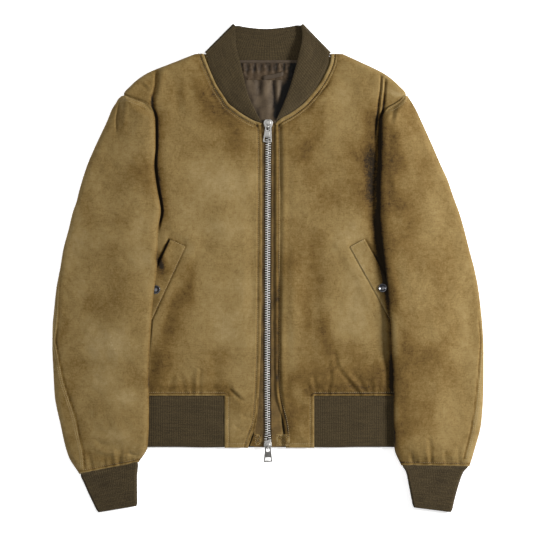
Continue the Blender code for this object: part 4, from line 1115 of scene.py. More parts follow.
def sleeve_grid(side, row_step, shares):
    """A sleeve sheet's points: distance from the centre, height, level, place across, and width."""
    rows = SLEEVE_ROWS[side]
    foot = rows[-1]["y"]
    heights = row_places((276, 256, 1.6), (256, foot + 30, row_step), (foot + 30, foot, 1.5))
    level, inner, outer, drop = (
        np.repeat(values[:, None], len(shares), 1)
        for values in (heights, *(read(rows, name, heights) for name in ("inner", "outer", "drop"))))
    width = outer - inner
    spot = shares * width
    return inner + spot, level - drop * shares, level, spot, width


def sleeve_base(side, level, spot, width):
    """Heights under and over a sleeve: it drapes off the body, and its padding bridges the step."""
    body_edge = read(FRONT_ROWS, "outer_" + side, level)
    inner = read(SLEEVE_ROWS[side], "inner", level)
    high = ease((level - 70.0) / 50.0)
    start = np.maximum(2.0, body_edge - inner - 2.0 - 2.5 * high)
    start = np.minimum(start, 0.62 * width)
    run = np.minimum(34.0 - 21.0 * high, width - start - 3.0)
    lay = read(SLEEVE_LAY, "height", level) * ease((level - SLEEVE_ROWS[side][-1]["y"]) / 44.0)
    return lay * (1.0 - ease((spot - start) / run)), lay * (1.0 - ease(spot / width) ** 1.15)


def sleeve_end(side):
    """The line where a sleeve meets its cuff."""
    last = SLEEVE_ROWS[side][-1]
    return [(last["inner"] - 4, last["y"] + 0.4), (last["outer"] + 4, last["y"] - last["drop"] - 0.4)]


def sleeve_head(side, count):
    """The line where a sleeve is sewn to the shoulder."""
    return [(row["inner"], row["y"]) for row in SLEEVE_ROWS[side][:count]]


def rounding(spot, width, head):
    """0 at a sleeve's two edges, rising to 1 on a round shoulder; gently where the head is sewn on."""
    inner_rim = np.minimum(SLEEVE_RIM + 22.0 * head, 0.6 * width)
    outer_rim = np.minimum(SLEEVE_RIM, 0.4 * width)
    inner, outer = (np.sqrt(1.0 - (1.0 - np.clip(share, 0, 1)) ** 2 * 0.9999)
                    for share in (spot / inner_rim, (width - spot) / outer_rim))
    inner = inner + (ease(spot / inner_rim) - inner) * head
    return np.minimum(inner, outer)


def make_sleeve(side, layer):
    """A sleeve's upper or under sheet."""
    sign = SIDES[side]
    upper = layer == "upper"
    rim, rim_count, count, row_step = (0.055, 9, 52, 2.8) if upper else (0.08, 7, 26, 6.0)
    edge = np.linspace(0, rim, rim_count)
    shares = np.concatenate([edge, np.linspace(rim, 1 - rim, count)[1:-1], 1 - edge[::-1]])
    x, y, level, spot, width = sleeve_grid(side, row_step, shares)
    loft = 0.4 + 0.6 * np.clip(width / 45.0, 0, 1)
    head = ease((level - 238.0) / 20.0)
    fold = FOLD_HEIGHT - 3.9 * head * (spot < 0.5 * width)
    under, over = sleeve_base(side, level, spot, width)
    if upper:
        body, tone = sleeve_surface(side, x, y, level, spot, width, head)
        z = over + loft * (fold + (body - fold) * rounding(spot, width, head))
    else:
        z = np.maximum(under + loft * fold * (1.0 - rounding(spot, width, 0.0)), 0.02)
        tone = washed_and_shaded(sign * x, y, 340)
    return sew("sleeve_cloth_%s_%s" % (layer, side), np.stack([sign * x, y, z], 2), np.stack([x, y], 2),
               SLEEVE_SHEET, (sign * 260, 0, FAR_BELOW if upper else FAR_ABOVE), shell, "shell",
               "sleeve_%s_%s" % (layer, side), "front_" + side, {"wash_and_shade": tone})


def sleeve_surface(side, x, y, level, spot, width, head):
    """How thick a padded sleeve is at each point, and its upper sheet's tone with painted shade."""
    seed = 71 if side == "right" else 93
    cuff_seam, cuff_along = near_line(x, y, sleeve_end(side))
    armhole, arm_along = near_line(x, y, sleeve_head(side, 5))
    armhole = np.where(level < 246, FAR, armhole)
    rear, rear_along = near_line(x, y, REAR_SEAM[side])
    rear_depth = 0.25 + 0.75 * ease((-40.0 - level) / 90.0)
    soft = ease(np.minimum(spot, width - spot) / 14.0)
    quiet = ease((cuff_seam - 5.0) / 12.0)

    body = 2 * SLEEVE_WALL + SLEEVE_GAP + creased(x, y, SLEEVE_CREASES[side]) * soft
    body += SLEEVE_PUFF * np.sin(math.pi * np.clip(spot / width, 0, 1)) ** 0.75 * quiet
    body += undulation(x, y, 80, 0.38, seed, 1.4) * soft * quiet
    body += (undulation(x, y, 24, 0.16, seed + 1) + undulation(x, y, 10, 0.05, seed + 2)) * soft
    body += groove(cuff_seam, 5.4, 1.0) + groove(rear, 0.0, 1.2) * rear_depth
    body += groove(armhole, 2.6, 0.25) + groove(armhole, 7.6, 0.3)
    for n, tucks in enumerate((
            (rear, rear_along, 0.5, 6.0, 0.55, 7.0), (cuff_seam, cuff_along, 5.4, 14.0, 0.7, 7.0),
            (cuff_seam, cuff_along, 5.4, 6.0, 0.5, 3.4), (armhole, arm_along, 7.6, 7.0, 0.5, 8.0))):
        body += puckers(*tucks, seed + 3 + n)
    body -= turned(cuff_seam, 2.5, 2.2)

    places = np.array(REAR_SEAM[side])[::-1]
    beyond_seam = ease((x - np.interp(y, places[:, 1], places[:, 0])) / 2.0)
    tone = washed_and_shaded(SIDES[side] * x, y, 300) + 0.25 * beyond_seam * ease((-30.0 - level) / 60.0)
    # Painted shade: the jacket's left sleeve is darker along its inner edge, the side that faces away
    # from the light.
    if side == "left":
        tone -= 0.85 * bell(spot, 17.0) * ease((level + 110.0) / 80.0) * ease((255.0 - level) / 30.0)
    tone = softened(tone)
    # The line on spot is painted shade where the sleeve's inner edge rounds down into the gap; the others
    # mark seams.
    for distance, line_width, share in (
            (cuff_seam, 2.2, 0.4), (cuff_seam - 4.6, 1.5, -1.1), (rear, 1.3, -0.8 * rear_depth),
            (spot, 2.0, -0.6 * (level < 250)), (armhole - 1.2, 1.3, 0.35 * head),
            (armhole - 5.4, 1.5, 0.35 * head)):
        tone += share * bell(distance, line_width)
    return body, tone


sleeves = {}
for side in SIDES:
    sleeves[side] = make_sleeve(side, "upper")
    make_sleeve(side, "under")

# %% [markdown]
# ## Rib knit: cuffs, waistband and collar
#
# Rib knit is a row of raised ribs with narrow valleys between them. The ribs are real shape here,
# with a few points across each one, and the material adds the small stitches along them. A cuff is
# a tube pressed flat, the waistband is a strip round the back from front to front, and the collar
# is a strip that folds over at both shoulders.

# %% Rib helpers
RIB_PITCH = 3.6
RIB_HEIGHT = 0.34
POINTS_PER_RIB = 5
KNIT_SHEET = 2.4
CUFF_SHEET = 2.0


def rib_wave(distance):
    """Height over the valleys, from 0 to 1, at distances along a knitted strip."""
    return np.abs(np.cos(math.pi * distance / RIB_PITCH)) ** 0.7


def catmull(points, count):
    """count + 1 points at even spacing on a smooth curve through the given ones."""
    guide = np.array(points, float)
    guide = np.vstack([2 * guide[0] - guide[1], guide, 2 * guide[-1] - guide[-2]])
    fine = [0.5 * (2 * b + (c - a) * t + (2 * a - 5 * b + 4 * c - d) * t * t
                   + (3 * b - a - 3 * c + d) * t ** 3)
            for a, b, c, d in zip(guide, guide[1:], guide[2:], guide[3:])
            for t in np.linspace(0, 1, 24, endpoint=False)]
    return resampled(np.array(fine + [guide[-2]]), count + 1)


def resampled(path, count):
    """A path with its points set anew at even spacing."""
    reach = distances(path)
    goals = np.linspace(0, reach[-1], count)
    return np.stack([np.interp(goals, reach, path[:, k]) for k in range(2)], 1)


def knit(name, lines, grains, waves, thickness, inside, paint, node, rests_on, joined=False):
    """A ribbed strip from its lines of points. The waves along a line are the same on every one."""
    # The rib mark is each point's height on its rib, which the paint turns into painted shade in the
    # valleys.
    sew(name, np.array(lines), np.array(grains), thickness, inside, paint, "rib", node, rests_on,
        {"rib": np.tile(waves, (len(lines), 1))}, joined=joined)


# %% [markdown]
# ### Cuffs
#
# A cuff is knitted round, so it is one closed ring of points, repeated down the arm and joined
# along its side. It is widest at the sleeve, which is gathered onto it, and has the same number
# of ribs all the way down.

# %% Cuffs
CUFF_ROWS = {
    "right": table(
        "inner_x  inner_y  outer_x  outer_y",
        (207.2, -311.8, 301.6, -331.2), (208.8, -325, 294, -347), (209.6, -340, 286.4, -364),
        (209.2, -381, 273, -391.7),
    ),
    "left": table(
        "inner_x  inner_y  outer_x  outer_y",
        (214.2, -317.2, 322, -318.7), (221, -327, 313, -328), (226, -351, 303.5, -355),
        (232.4, -383.4, 294.4, -391.4),
    ),
}
CUFF_HEIGHT = 9.0
CUFF_ROUNDS = 24
CUFF_STEP = 3.4
TURN_POINTS = 12
SEAM_DIPS = (2.2, 1.3, 0.5)


def cuff_edge(side, edge, flare):
    """A cuff's edge line, from a point just inside the sleeve down to its open end."""
    line = catmull([(row[edge + "_x"], row[edge + "_y"]) for row in CUFF_ROWS[side]], CUFF_ROUNDS)
    return np.vstack([line[0] + (flare, 5.0), line]) * (SIDES[side], 1.0)


def cuff_ring(near, far, top_count):
    """One round of a flat tube: places on its middle plane, and the direction outwards at each."""
    radius = CUFF_HEIGHT / 2
    out = (far - near) / np.linalg.norm(far - near)
    start = near + out * radius
    end = far - out * radius
    ring = []
    for first, last, away, up in ((start, end, out, 1.0), (end, start, -out, -1.0)):
        for t in np.linspace(0, 1, top_count + 1):
            ring.append((*(first + (last - first) * t), radius, 0.0, 0.0, up))
        for angle in np.linspace(0, math.pi, TURN_POINTS + 1)[1:-1]:
            ring.append((*last, radius, *(away * math.sin(angle)), up * math.cos(angle)))
    return np.array(ring + ring[:1])


def make_cuff(side):
    """A cuff: a ribbed tube, pressed flat, flared where the sleeve is gathered onto it."""
    near_edge = cuff_edge(side, "inner", 1.5)
    far_edge = cuff_edge(side, "outer", -1.5)
    widths = np.linalg.norm(far_edge - near_edge, axis=1)
    ribs = round((2 * widths[0] + 10) / RIB_PITCH)
    top_count = round(POINTS_PER_RIB * ribs * 0.46)
    lines = []
    grains = []
    for n, (near, far) in enumerate(zip(near_edge, far_edge)):
        ring = cuff_ring(near, far, top_count)
        distance = np.linspace(0, ribs * RIB_PITCH, len(ring))
        rounded_end = 1.3 * max(0.0, (n - CUFF_ROUNDS + 1) / 2) ** 2
        seam_dip = SEAM_DIPS[n] if n < len(SEAM_DIPS) else 0.0
        raised = RIB_HEIGHT * (rib_wave(distance) - 1.0) * np.where(ring[:, 5] < -0.9, 0.0, 1.0)
        bumps = undulation(ring[:, 0], ring[:, 1], 30, 0.22, 5) * np.clip(ring[:, 5], 0, 1)
        size = CUFF_HEIGHT / 2 - 0.02 - rounded_end - seam_dip + raised + bumps
        lines.append(ring[:, :3] + ring[:, 3:] * size[:, None])
        grains.append(np.stack([distance * widths.mean() / widths[0],
                                np.full(len(ring), CUFF_STEP * n)], 1))
    row = CUFF_ROWS[side][1]
    middle = (SIDES[side] * (row["inner_x"] + row["outer_x"]) / 2, -350, CUFF_HEIGHT / 2)
    knit("cuff_knit_" + side, lines, grains, rib_wave(distance), CUFF_SHEET, middle, cuff_paint,
         "cuff_" + side, "sleeve_under_" + side, True)


for side in SIDES:
    make_cuff(side)

# %% [markdown]
# ### Waistband
#
# The waistband starts beside one front's block, runs round the side and under the back, and ends
# beside the other block. Each row of points is two halves that meet in the middle of the back. The
# ribs are raised only where they show.

# %% Waistband
WAISTBAND_TOP = -202.0
WAISTBAND_FOOT = -287.0
WAISTBAND_HEIGHT = 8.0
WAISTBAND_ROWS = 26
WAISTBAND_DIPS = (2.8, 1.5, 0.3)


def waistband_half(side, n, y):
    """Half a row of the waistband, from its front end to the middle of the back."""
    sign = SIDES[side]
    radius = WAISTBAND_HEIGHT / 2
    start = BLOCK_EDGE[side] + 0.4
    edge = float(read(FRONT_ROWS, "outer_" + side, y)) - radius
    shown = np.linspace(start, 200.0, 36 * POINTS_PER_RIB + 1)
    hidden = np.linspace(200.0, edge, 12)[1:]
    points = [(x, WAISTBAND_HEIGHT, 1.0) for x in np.concatenate([shown, hidden])]
    points += [(edge + radius * math.sin(angle), radius * (1 + math.cos(angle)), 0.0)
               for angle in np.linspace(0, math.pi, 9)[1:-1]]
    points += [(x, 0.0, 0.0) for x in np.linspace(edge, 0, 26)[:-1]]
    x, z, on_top = np.array(points).T
    level = np.full(len(x), y)
    slack = undulation(x + 900 * (sign > 0), level, 34, 0.25, 9)
    dip = WAISTBAND_DIPS[n] if n < len(WAISTBAND_DIPS) else 0.0
    end_round = 1.3 * max(0.0, (n - WAISTBAND_ROWS + 2) / 2) ** 2 + dip
    wave = RIB_HEIGHT * (rib_wave(x - start) - 1.0)
    ripple = 0.5 * np.sin(x / 21.0) * (n / WAISTBAND_ROWS)
    line = np.stack([sign * x, level + ripple * on_top, z + (wave + slack - 0.3 - end_round) * on_top], 1)
    return line, distances(np.stack([x, z], 1))


def make_waistband():
    """The waistband: a ribbed strip from front to front, folded round the sides."""
    lines = []
    grains = []
    for n, y in enumerate(np.linspace(WAISTBAND_TOP, WAISTBAND_FOOT, WAISTBAND_ROWS + 1)):
        (right, right_reach), (left, left_reach) = (waistband_half(side, n, y) for side in SIDES)
        half = right_reach[-1]
        lines.append(np.vstack([right, [(0.0, y, 0.0)], left[::-1]]))
        along = np.concatenate([right_reach, [half + 10.0],
                                half + 20.0 + left_reach[-1] - left_reach[::-1]])
        grains.append(np.stack([along, np.full(len(along), -y)], 1))
    waves = rib_wave(np.concatenate([right_reach, [0.0], left_reach[::-1]]))
    knit("waistband_knit", lines, grains, waves, KNIT_SHEET, (0, -246, 4), knit_paint, "hem_rib", "back")


make_waistband()

# %% [markdown]
# ### Collar
#
# The collar's front part lies on each front and its back part lies on the floor side, with a round
# fold at both shoulders. Its sewn seam and its free edge are drawn as two curves, and every line
# of points is a share of the way from one to the other. The fold needs its own few points, because
# a strip can't turn over in one step.

# %% Collar
COLLAR_HEIGHT = 8.6
COLLAR_RISE = {"right": 3.4, "left": 5.0}
COLLAR_FRONT = {
    "right": {
        "seam": ((101.5, 346), (95, 324), (80, 291), (62, 264), (39, 246), (18, 235), (10.5, 232.8)),
        "edge": ((56, 391.7), (51, 356), (43.5, 326), (34, 285), (26, 264), (17, 246), (11.5, 235.5)),
    },
    "left": {
        "seam": ((101, 345.5), (98, 327), (77, 288), (60, 268), (40, 251), (18, 239), (13.6, 235.8)),
        "edge": ((56, 391.7), (56.5, 372), (48, 336), (38, 300), (32, 282), (23.7, 261), (14, 238.8)),
    },
}
COLLAR_BACK = {
    "seam": ((-101.5, 346), (-72, 335), (0, 333.6), (72, 335), (101, 345.5)),
    "edge": ((-56, 391.7), (-37, 386.5), (-3, 383.5), (35, 387), (56, 391.7)),
}
COLLAR_ROWS = 18
COLLAR_WIDTH = 52.0
FRONT_POINTS = 38 * POINTS_PER_RIB
BACK_POINTS = 44 * POINTS_PER_RIB
FOLD_POINTS = 8
FOLD_STEP = 1.7


def fold_direction(side):
    """Outward direction in plan, square to the collar's shoulder fold."""
    start = Vector(COLLAR_FRONT[side]["seam"][0])
    run = (Vector(COLLAR_FRONT[side]["edge"][0]) - start).normalized()
    return np.array([SIDES[side] * run.y, -run.x])


def collar_front(side, share):
    """One line of the collar's front part, from the zip up to the fold, and the collar's width."""
    seam, edge = (catmull(COLLAR_FRONT[side][name], FRONT_POINTS)[::-1] for name in ("seam", "edge"))
    to_fold = np.linspace(0, 1, FRONT_POINTS + 1)
    spot = (seam + (edge - seam) * share) * (SIDES[side], 1.0)
    spot -= fold_direction(side) * COLLAR_HEIGHT / 2 * ease(to_fold * 4.0 - 3.0)[:, None]
    width = np.linalg.norm(edge - seam, axis=1)
    rise = COLLAR_RISE[side] * np.sin(math.pi * 0.62 * share) * 1.05
    rise = rise * ease((1.0 - to_fold) * 3.0) * np.clip(width / 20.0, 0, 1)
    z = COLLAR_HEIGHT + rise + undulation(*spot.T, 40, 0.35, 21) * np.clip(width / 30, 0, 1)
    return np.column_stack([spot, z - 0.9 * bell(share, 0.05) - 0.9 * bell(1 - share, 0.03)]), width


def collar_fold(side, end):
    """Points round the shoulder fold, from the top down to the collar's back part."""
    radius = COLLAR_HEIGHT / 2
    away = fold_direction(side) * radius
    return np.array([(*(end[:2] + away * math.sin(angle)), radius + math.cos(angle) * radius)
                     for angle in np.linspace(0, math.pi, FOLD_POINTS + 1)[1:-1]])


def make_collar():
    """The collar: one ribbed strip, folded over at both shoulders."""
    seam, edge = (catmull(COLLAR_BACK[name], BACK_POINTS) for name in ("seam", "edge"))
    front, fold, back = ([RIB_PITCH / POINTS_PER_RIB] * FRONT_POINTS, [FOLD_STEP] * FOLD_POINTS,
                         [RIB_PITCH / POINTS_PER_RIB] * BACK_POINTS)
    along = np.concatenate([[0], np.cumsum(front + fold + back + fold + front)])
    middle = np.ones(len(along) - 2 * FRONT_POINTS - 2)
    turned_over = np.ones(len(along))
    turned_over[FRONT_POINTS + FOLD_POINTS:-FRONT_POINTS - FOLD_POINTS] = -1.0
    to_side = np.linspace(0, 1, BACK_POINTS + 1)
    lines = []
    grains = []
    for share in np.arange(COLLAR_ROWS + 1) / COLLAR_ROWS:
        (right, right_width), (left, left_width) = (collar_front(side, share) for side in SIDES)
        spot = seam + (edge - seam) * share
        spot -= fold_direction("right") * COLLAR_HEIGHT / 2 * ease(1.0 - to_side * 8.0)[:, None]
        spot -= fold_direction("left") * COLLAR_HEIGHT / 2 * ease(to_side * 8.0 - 7.0)[:, None]
        low = np.column_stack([spot, np.zeros(len(spot))])
        line = np.vstack([right, collar_fold("right", low[0]), low,
                          collar_fold("left", low[-1])[::-1], left[::-1]])
        soft = np.concatenate([np.clip(right_width / 14, 0, 1), middle,
                               np.clip(left_width[::-1] / 14, 0, 1)])
        line[:, 2] += RIB_HEIGHT * (rib_wave(along) - 1.0) * soft * turned_over
        line[:, 2] = np.maximum(line[:, 2], 0.0)
        lines.append(line)
        width = np.concatenate([right_width, COLLAR_WIDTH * middle, left_width[::-1]])
        grains.append(np.stack([along, share * width], 1))
    knit("collar_knit", lines, grains, rib_wave(along), KNIT_SHEET, (0, 290, 4.3), knit_paint,
         "collar", "back")


make_collar()

# %% [markdown]
# ## Pocket welts
#
# Each slanted pocket has a welt: a folded strip, stitched down along its inner edge and its ends.
# The outer edge is open. On the jacket's right it stands up a little, so a dark gap shows, deepened
# with painted shade, and the long stitched edge is puckered. The other one lies flat and ends under
# the sleeve, with the sleeve's shadow painted on it.

# %% Pocket welts
WELT_TOP = 10.9
WELT_SHEET = 1.3
WELT_STOPS = (0, 0.4, 0.9, 1.6, 2.4, 3.4, 4.6, 6, 8, 10, 12.5, 15, 17.5, 20, 22, 24, 25.4, 26.4, 27.1,
              27.5)


def make_welt(side):
    """A pocket welt, laid on the front."""
    right = side == "right"
    seed = 131 if right else 137
    corner, run, square = welt_axes(side)
    downs = np.concatenate([[0, 0.5, 1.1, 1.9], np.linspace(3, 164, 92), [165.1, 165.9, 166.5, 167]])
    across, down = np.meshgrid(np.array(WELT_STOPS), downs)
    x, y = (corner[k] + run[k] * down + square[k] * across for k in range(2))
    to_end = np.minimum(down, WELT_LENGTH - down)
    z = WELT_TOP + undulation(x, y, 30, 0.22, seed) + undulation(x, y, 9, 0.05, seed + 1)
    z -= turned(across, 2.4, 1.5) + turned(to_end, 2.2, 1.2) + turned(WELT_WIDTH - across, 1.5, 0.6)
    tucks = puckers(across, down, 3.0, 8.0, 0.75 if right else 0.2, 6.0, seed + 2)
    z += tucks * ease((down - 22) / 20) * ease(across / 2.0) + groove(to_end, 3.6, 0.3, 0.9)
    sewn = np.minimum(across, to_end)
    x_place = SIDES[side] * x
    tone = washed_and_shaded(x_place, y, 300) + 0.2 * bell(sewn - 2.6, 1.2)
    # Painted shade along the welt's sewn edges, in the groove where the front meets it.
    tone -= (0.9 if right else 0.3) * bell(sewn, 0.9)
    if right:
        z += 1.7 * ease((across - 13) / 13) * ease(down / 12) * ease((78 - down) / 40)
        z -= 1.2 * bell(across - 13, 6) * bell(down - 62, 9)
        tone -= 0.25
    else:
        # Painted shade: the sleeve's shadow falls over the jacket's left welt.
        tone -= painted_slit_shade(side, x, y, 0.0)
    return sew("welt_cloth_" + side, np.stack([x_place, y, z], 2), np.stack([across, down], 2),
               WELT_SHEET, (SIDES[side] * 140, 0, FAR_BELOW), shell, "shell", "pocket_welt_" + side,
               "front_cloth_" + side, {"wash_and_shade": tone})


welts = {side: make_welt(side) for side in SIDES}

# %% [markdown]
# ## Inside the neck
#
# Behind the zip's top the lining shows. A tape covers the collar seam, a gathered facing hangs
# below it, and satin falls in long soft folds under that. A loop is sewn across the facing.

# %% Inside the neck
LINING_FOLDS = table(
    "path  width  height  held",
    (((3, 300), (2, 270), (4, 240)), 6.5, 1.6, 1),
    (((-8, 300), (-10, 280), (-10, 264), (-6, 248)), 2.8, -2.2, 1),
    (((-15, 300), (-16, 285), (-15, 268)), 3.6, 1.2, 1),
    (((15, 302), (13, 286), (12, 272)), 3.6, -1.4, 1), (((28, 300), (27, 275), (24, 256)), 6.0, 0.9, 1),
    (((-22, 300), (-22, 284), (-18, 262)), 2.6, -1.0, 1),
)
FACING_GATHERS = ((-38, 1.6), (-33, -1.4), (-27, 1.2), (-22, -2.0), (-17, 1.5), (-12, -0.8), (-5, 1.0),
                  (1, -1.2), (7, 0.9), (13, -1.4), (19, 1.3), (25, -1.6), (30, 1.3), (36, -1.2))
FACING_TOP = 328.2
FACING_FOOT = 301.4
SATIN_SHEET = 0.6
TAPE_SHEET = 0.8
LOOP_SHEET = 0.4
LOOP_LINE = ((-7, 304.5), (-3, 305.2), (8, 307), (20, 310), (24.5, 311.5))
# A loop's section, from its lower folded edge over its face to the upper one: across, and down.
LOOP_SECTION = np.array((
    (-3.3, 0.0), (-2.0, 0.0), (0.0, 0.0), (2.0, 0.0), (3.1, 0.15), (3.4, 0.55), (3.1, 0.95), (2.0, 1.1),
    (0.0, 1.1), (-2.0, 1.1), (-3.3, 1.1)))


def spread_rows(heights, left, right, count):
    """Rows of points between two edges: arrays of x and y."""
    x = left[:, None] + (right - left)[:, None] * np.linspace(0, 1, count + 1)
    return x, np.repeat(heights[:, None], count + 1, 1)


def painted_collar_shade(x, y):
    """Painted collar shadow: 1 beside the collar's edges, where the lining drops away from it, fading to
    0.
    """
    left = near_line(x, y, COLLAR_FRONT["left"]["edge"])[0]
    right = near_line(-x, y, COLLAR_FRONT["right"]["edge"])[0]
    shade = 0.9 * bell(left, 8.0) * ease((y - 236.0) / 12.0) + 0.15 * bell(right, 5.0)
    return shade + 0.07 + undulation(x, 0.35 * y, 12, 0.08, 154)


def line_neck(name, x, y, z, thickness, paint, node, marks=None):
    """A flat sheet inside the neck, sewn to the back."""
    sew(name, np.stack([x, y, z], 2), np.stack([x, y], 2), thickness, (0, 300, FAR_BELOW), paint,
        "lining", node, "back", marks)


def make_lining():
    """The lining below the neck, in long soft folds."""
    heights = np.linspace(301, 232.4, 38)
    right, left = (np.minimum(60.0, read(FRONT_ROWS, "inner_" + side, heights) + 14) for side in SIDES)
    x, y = spread_rows(heights, -right, left, 56)
    shown = ease((36 + (y - 232) * 0.45 - np.abs(x)) / 9)
    folds = creased(-x, y, LINING_FOLDS)
    z = 6.0 + (0.7 + folds + undulation(x, 0.35 * y, 16, 0.25, 151)) * shown
    z += 0.5 * puckers(301 - y, x + 62, 0.0, 6.0, 1.2, 4.0, 152) * shown
    # Painted shade: the collar's shadow, with the folds' troughs darker and their ridges lighter.
    line_neck("lining_satin", x, y, np.clip(z, 5.2, 8.4), SATIN_SHEET, satin, "lining_back",
              {"painted_shade": painted_collar_shade(x, y) - 0.14 * folds})


def make_facing():
    """The gathered facing above the lining."""
    heights = np.linspace(FACING_TOP, FACING_FOOT, 20)
    reach = 58 + 4 * (FACING_TOP - heights) / 27
    x, y = spread_rows(heights, -reach, reach, 110)
    gathers = np.zeros(x.shape)
    for spot, height in FACING_GATHERS:
        lean = spot + 0.10 * (315 - y) * (1 if height > 0 else -1)
        gathers += height * bell(x - lean, 1.7) * (0.3 + 0.7 * ease((y - 309) / 8))
    z = 6.3 + 0.5 * gathers + undulation(x, y, 8, 0.3, 155)
    z += groove(y - FACING_FOOT, 2.4, 0.9, 1.0) + groove(FACING_TOP - y, 1.0, 0.8, 1.5)
    # Painted shade from the collar and in the gathers' troughs, lighter on their ridges; the facing is
    # also darker towards its top.
    line_neck("facing_satin", x, y, np.clip(z, 5.6, 8.0), SATIN_SHEET, dark_satin, "neck_facing",
              {"painted_shade": painted_collar_shade(x, y) - 0.13 * gathers + 0.16 * ease((y - 314) / 4) - 0.06})


def make_neck_tape():
    """The tape over the collar's seam."""
    heights = np.array([333.2, 332.7, 331.8, 330.8, 329.8, 328.9, 328.4, 327, 325, 322.8])
    x, y = spread_rows(heights, np.full(10, -58.0), np.full(10, 56.0), 48)
    z = 6.4 - 1.5 * np.clip(np.abs(y - 330.8) / 2.6, 0, 1) ** 3
    z += undulation(x, y, 16, 0.12, 158) * (y > 328.5)
    line_neck("tape_satin", x, y, z, TAPE_SHEET, worn_satin, "neck_tape")


def make_loop():
    """The loop across the facing: a narrow strip with its edges turned under."""
    line = catmull(LOOP_LINE, 26)
    rises, drops = LOOP_SECTION[:, :1], LOOP_SECTION[:, 1:]
    x = np.repeat(line[None, :, 0], len(rises), 0)
    y = line[None, :, 1] + rises
    from_end = np.minimum(x - LOOP_LINE[0][0], LOOP_LINE[-1][0] - x)
    z = 8.9 - drops - 0.7 * np.clip(1 - from_end / 2.5, 0, 1)
    grain = np.stack([x, np.repeat(distances(LOOP_SECTION)[:, None], x.shape[1], 1)], 2)
    sew("loop_satin", np.stack([x, y, z], 2), grain, LOOP_SHEET, (8, 308, 8.35), worn_satin, "lining",
        "hanger_loop", "facing_satin")


make_lining()
make_facing()
make_neck_tape()
make_loop()

# %% [markdown]
# ## Zip tapes and patches
#
# The zip's teeth are clamped on the edges of two woven tapes, and the fronts are sewn to the
# tapes. At the foot a small square patch on each side holds the end of the tape.

# %% Zip tapes and patches
ZIP_LINE = table("y  x", (240, 0.4), (60, -0.4), (-175, -1.2), (-300, -0.2))
TAPE_REACH = np.array([1.0, 1.6, 3.0, 4.2, 4.8, 5.4, 6.2, 7.2, 8.4, 10.0, 12.0, 14.0, 16.0, 18.0, 19.5,
                       20.6, 22.0])
# How far each zip tape reaches from the zip's middle, from the foot up.
TAPE_HEIGHTS = (-290, -266, -246, -232, 240)
TAPE_EDGE = {"right": (22.0, 22.0, 22.0, 22.0, 22.0), "left": (27.2, 25.0, 22.6, 22.0, 22.0)}
PATCH_TOP = -266.0
PATCH_FOOT = -285.0
PATCH_SIZE = PATCH_TOP - PATCH_FOOT
PATCHES = {
    "right": {"across": (-22, -17, -10.5), "low": (6.0, 6.0, 6.0), "slant": 7.0, "tone": -0.8},
    "left": {"across": (13, 19, 24, 27.2, 35.5), "low": (6.0, 6.0, 6.0, 8.9, 9.9), "slant": 0.0,
             "tone": 0.1},
}


def zip_centre(y):
    """Where the zip's middle line is at height y."""
    return read(ZIP_LINE, "x", y)


def make_zip_tape(side):
    """A woven zip tape under the edge of a front."""
    sign = SIDES[side]
    reach = TAPE_REACH
    heights = row_places((231.6, -287.0, 4.0))
    wider = smooth_line(TAPE_HEIGHTS, TAPE_EDGE[side], heights)[:, None] / reach[-1] - 1.0
    x = zip_centre(heights)[:, None] + sign * reach * (1.0 + wider * ease((reach - 8.0) / 14.0))
    y = np.repeat(heights[:, None], len(reach), 1)
    z = 5.2 + ease((reach - 4.0) / 1.4) + undulation(x, y, 30, 0.16, 161) * ease((reach - 5) / 5)
    tone = undulation(x, y, 34, 0.14, 163) - (0.6 if side == "right" else 0.3)
    # Painted shade: the tape is nearly black under the teeth, where it shows down in the gaps between
    # them.
    tone -= 0.1 * ease((30 - y) / 200) + 1.6 * ease((4.3 - reach) / 0.5) + 0.9 * bell(reach - 5.6, 0.9)
    tone += 0.5 * ease((reach - 18.0) / 2.6) * ease((-215.0 - y) / 20.0)
    sew("tape_cloth_" + side, np.stack([x, y, np.clip(z, 5.1, 6.35)], 2), np.stack([x, y], 2), TAPE_SHEET,
        (sign * 11, 0, FAR_BELOW), tape_paint, "zip_cloth", "zip_tape_" + side, "back", {"wash_and_shade": tone})


def make_patch(side):
    """The patch over the foot of a zip tape."""
    patch = PATCHES[side]
    across = np.linspace(patch["across"][0], patch["across"][-1], 22)
    heights = np.linspace(PATCH_TOP, PATCH_FOOT, 18)
    slant = patch["slant"] * (PATCH_TOP - heights) / PATCH_SIZE
    x, y = spread_rows(heights, across[0] - slant, np.full(18, across[-1]), 21)
    edge = np.minimum(np.minimum(x - across[0] + slant[:, None], across[-1] - x),
                      np.minimum(PATCH_TOP - y, y - PATCH_FOOT))
    share = (x - across[0]) / (across[-1] - across[0])
    down = (PATCH_TOP - y) / PATCH_SIZE
    crossing = bell(np.minimum(np.abs(share - down), np.abs(1.0 - share - down)), 0.07) * (edge > 1.5)
    z = smooth_line(patch["across"], patch["low"], across) + 0.95 + undulation(x, y, 12, 0.14, 171)
    z += groove(edge, 2.2, 0.3, 0.8) - 0.4 * crossing - turned(edge, 1.4, 0.5)
    tone = washed_and_shaded(x, y, 300) + 0.4 * bell(edge, 1.0) - 0.5 * crossing + undulation(x, y, 7, 0.2, 172)
    return sew("patch_cloth_" + side, np.stack([x, y, z], 2), np.stack([x, y], 2), TAPE_SHEET,
               (across.mean(), -275, FAR_BELOW), shell, "shell", "zip_patch_" + side,
               "tape_cloth_" + side, {"wash_and_shade": tone + patch["tone"]})


for side in SIDES:
    make_zip_tape(side)
patches = {side: make_patch(side) for side in SIDES}

# %% [markdown]
# ## Many copies of one small shape
#
# The teeth and the stitches are each one small shape repeated hundreds of times. An Array can't
# follow a seam, and hundreds of objects would be slow to handle. So the shape is modelled once,
# and its copies are written into one joined mesh.

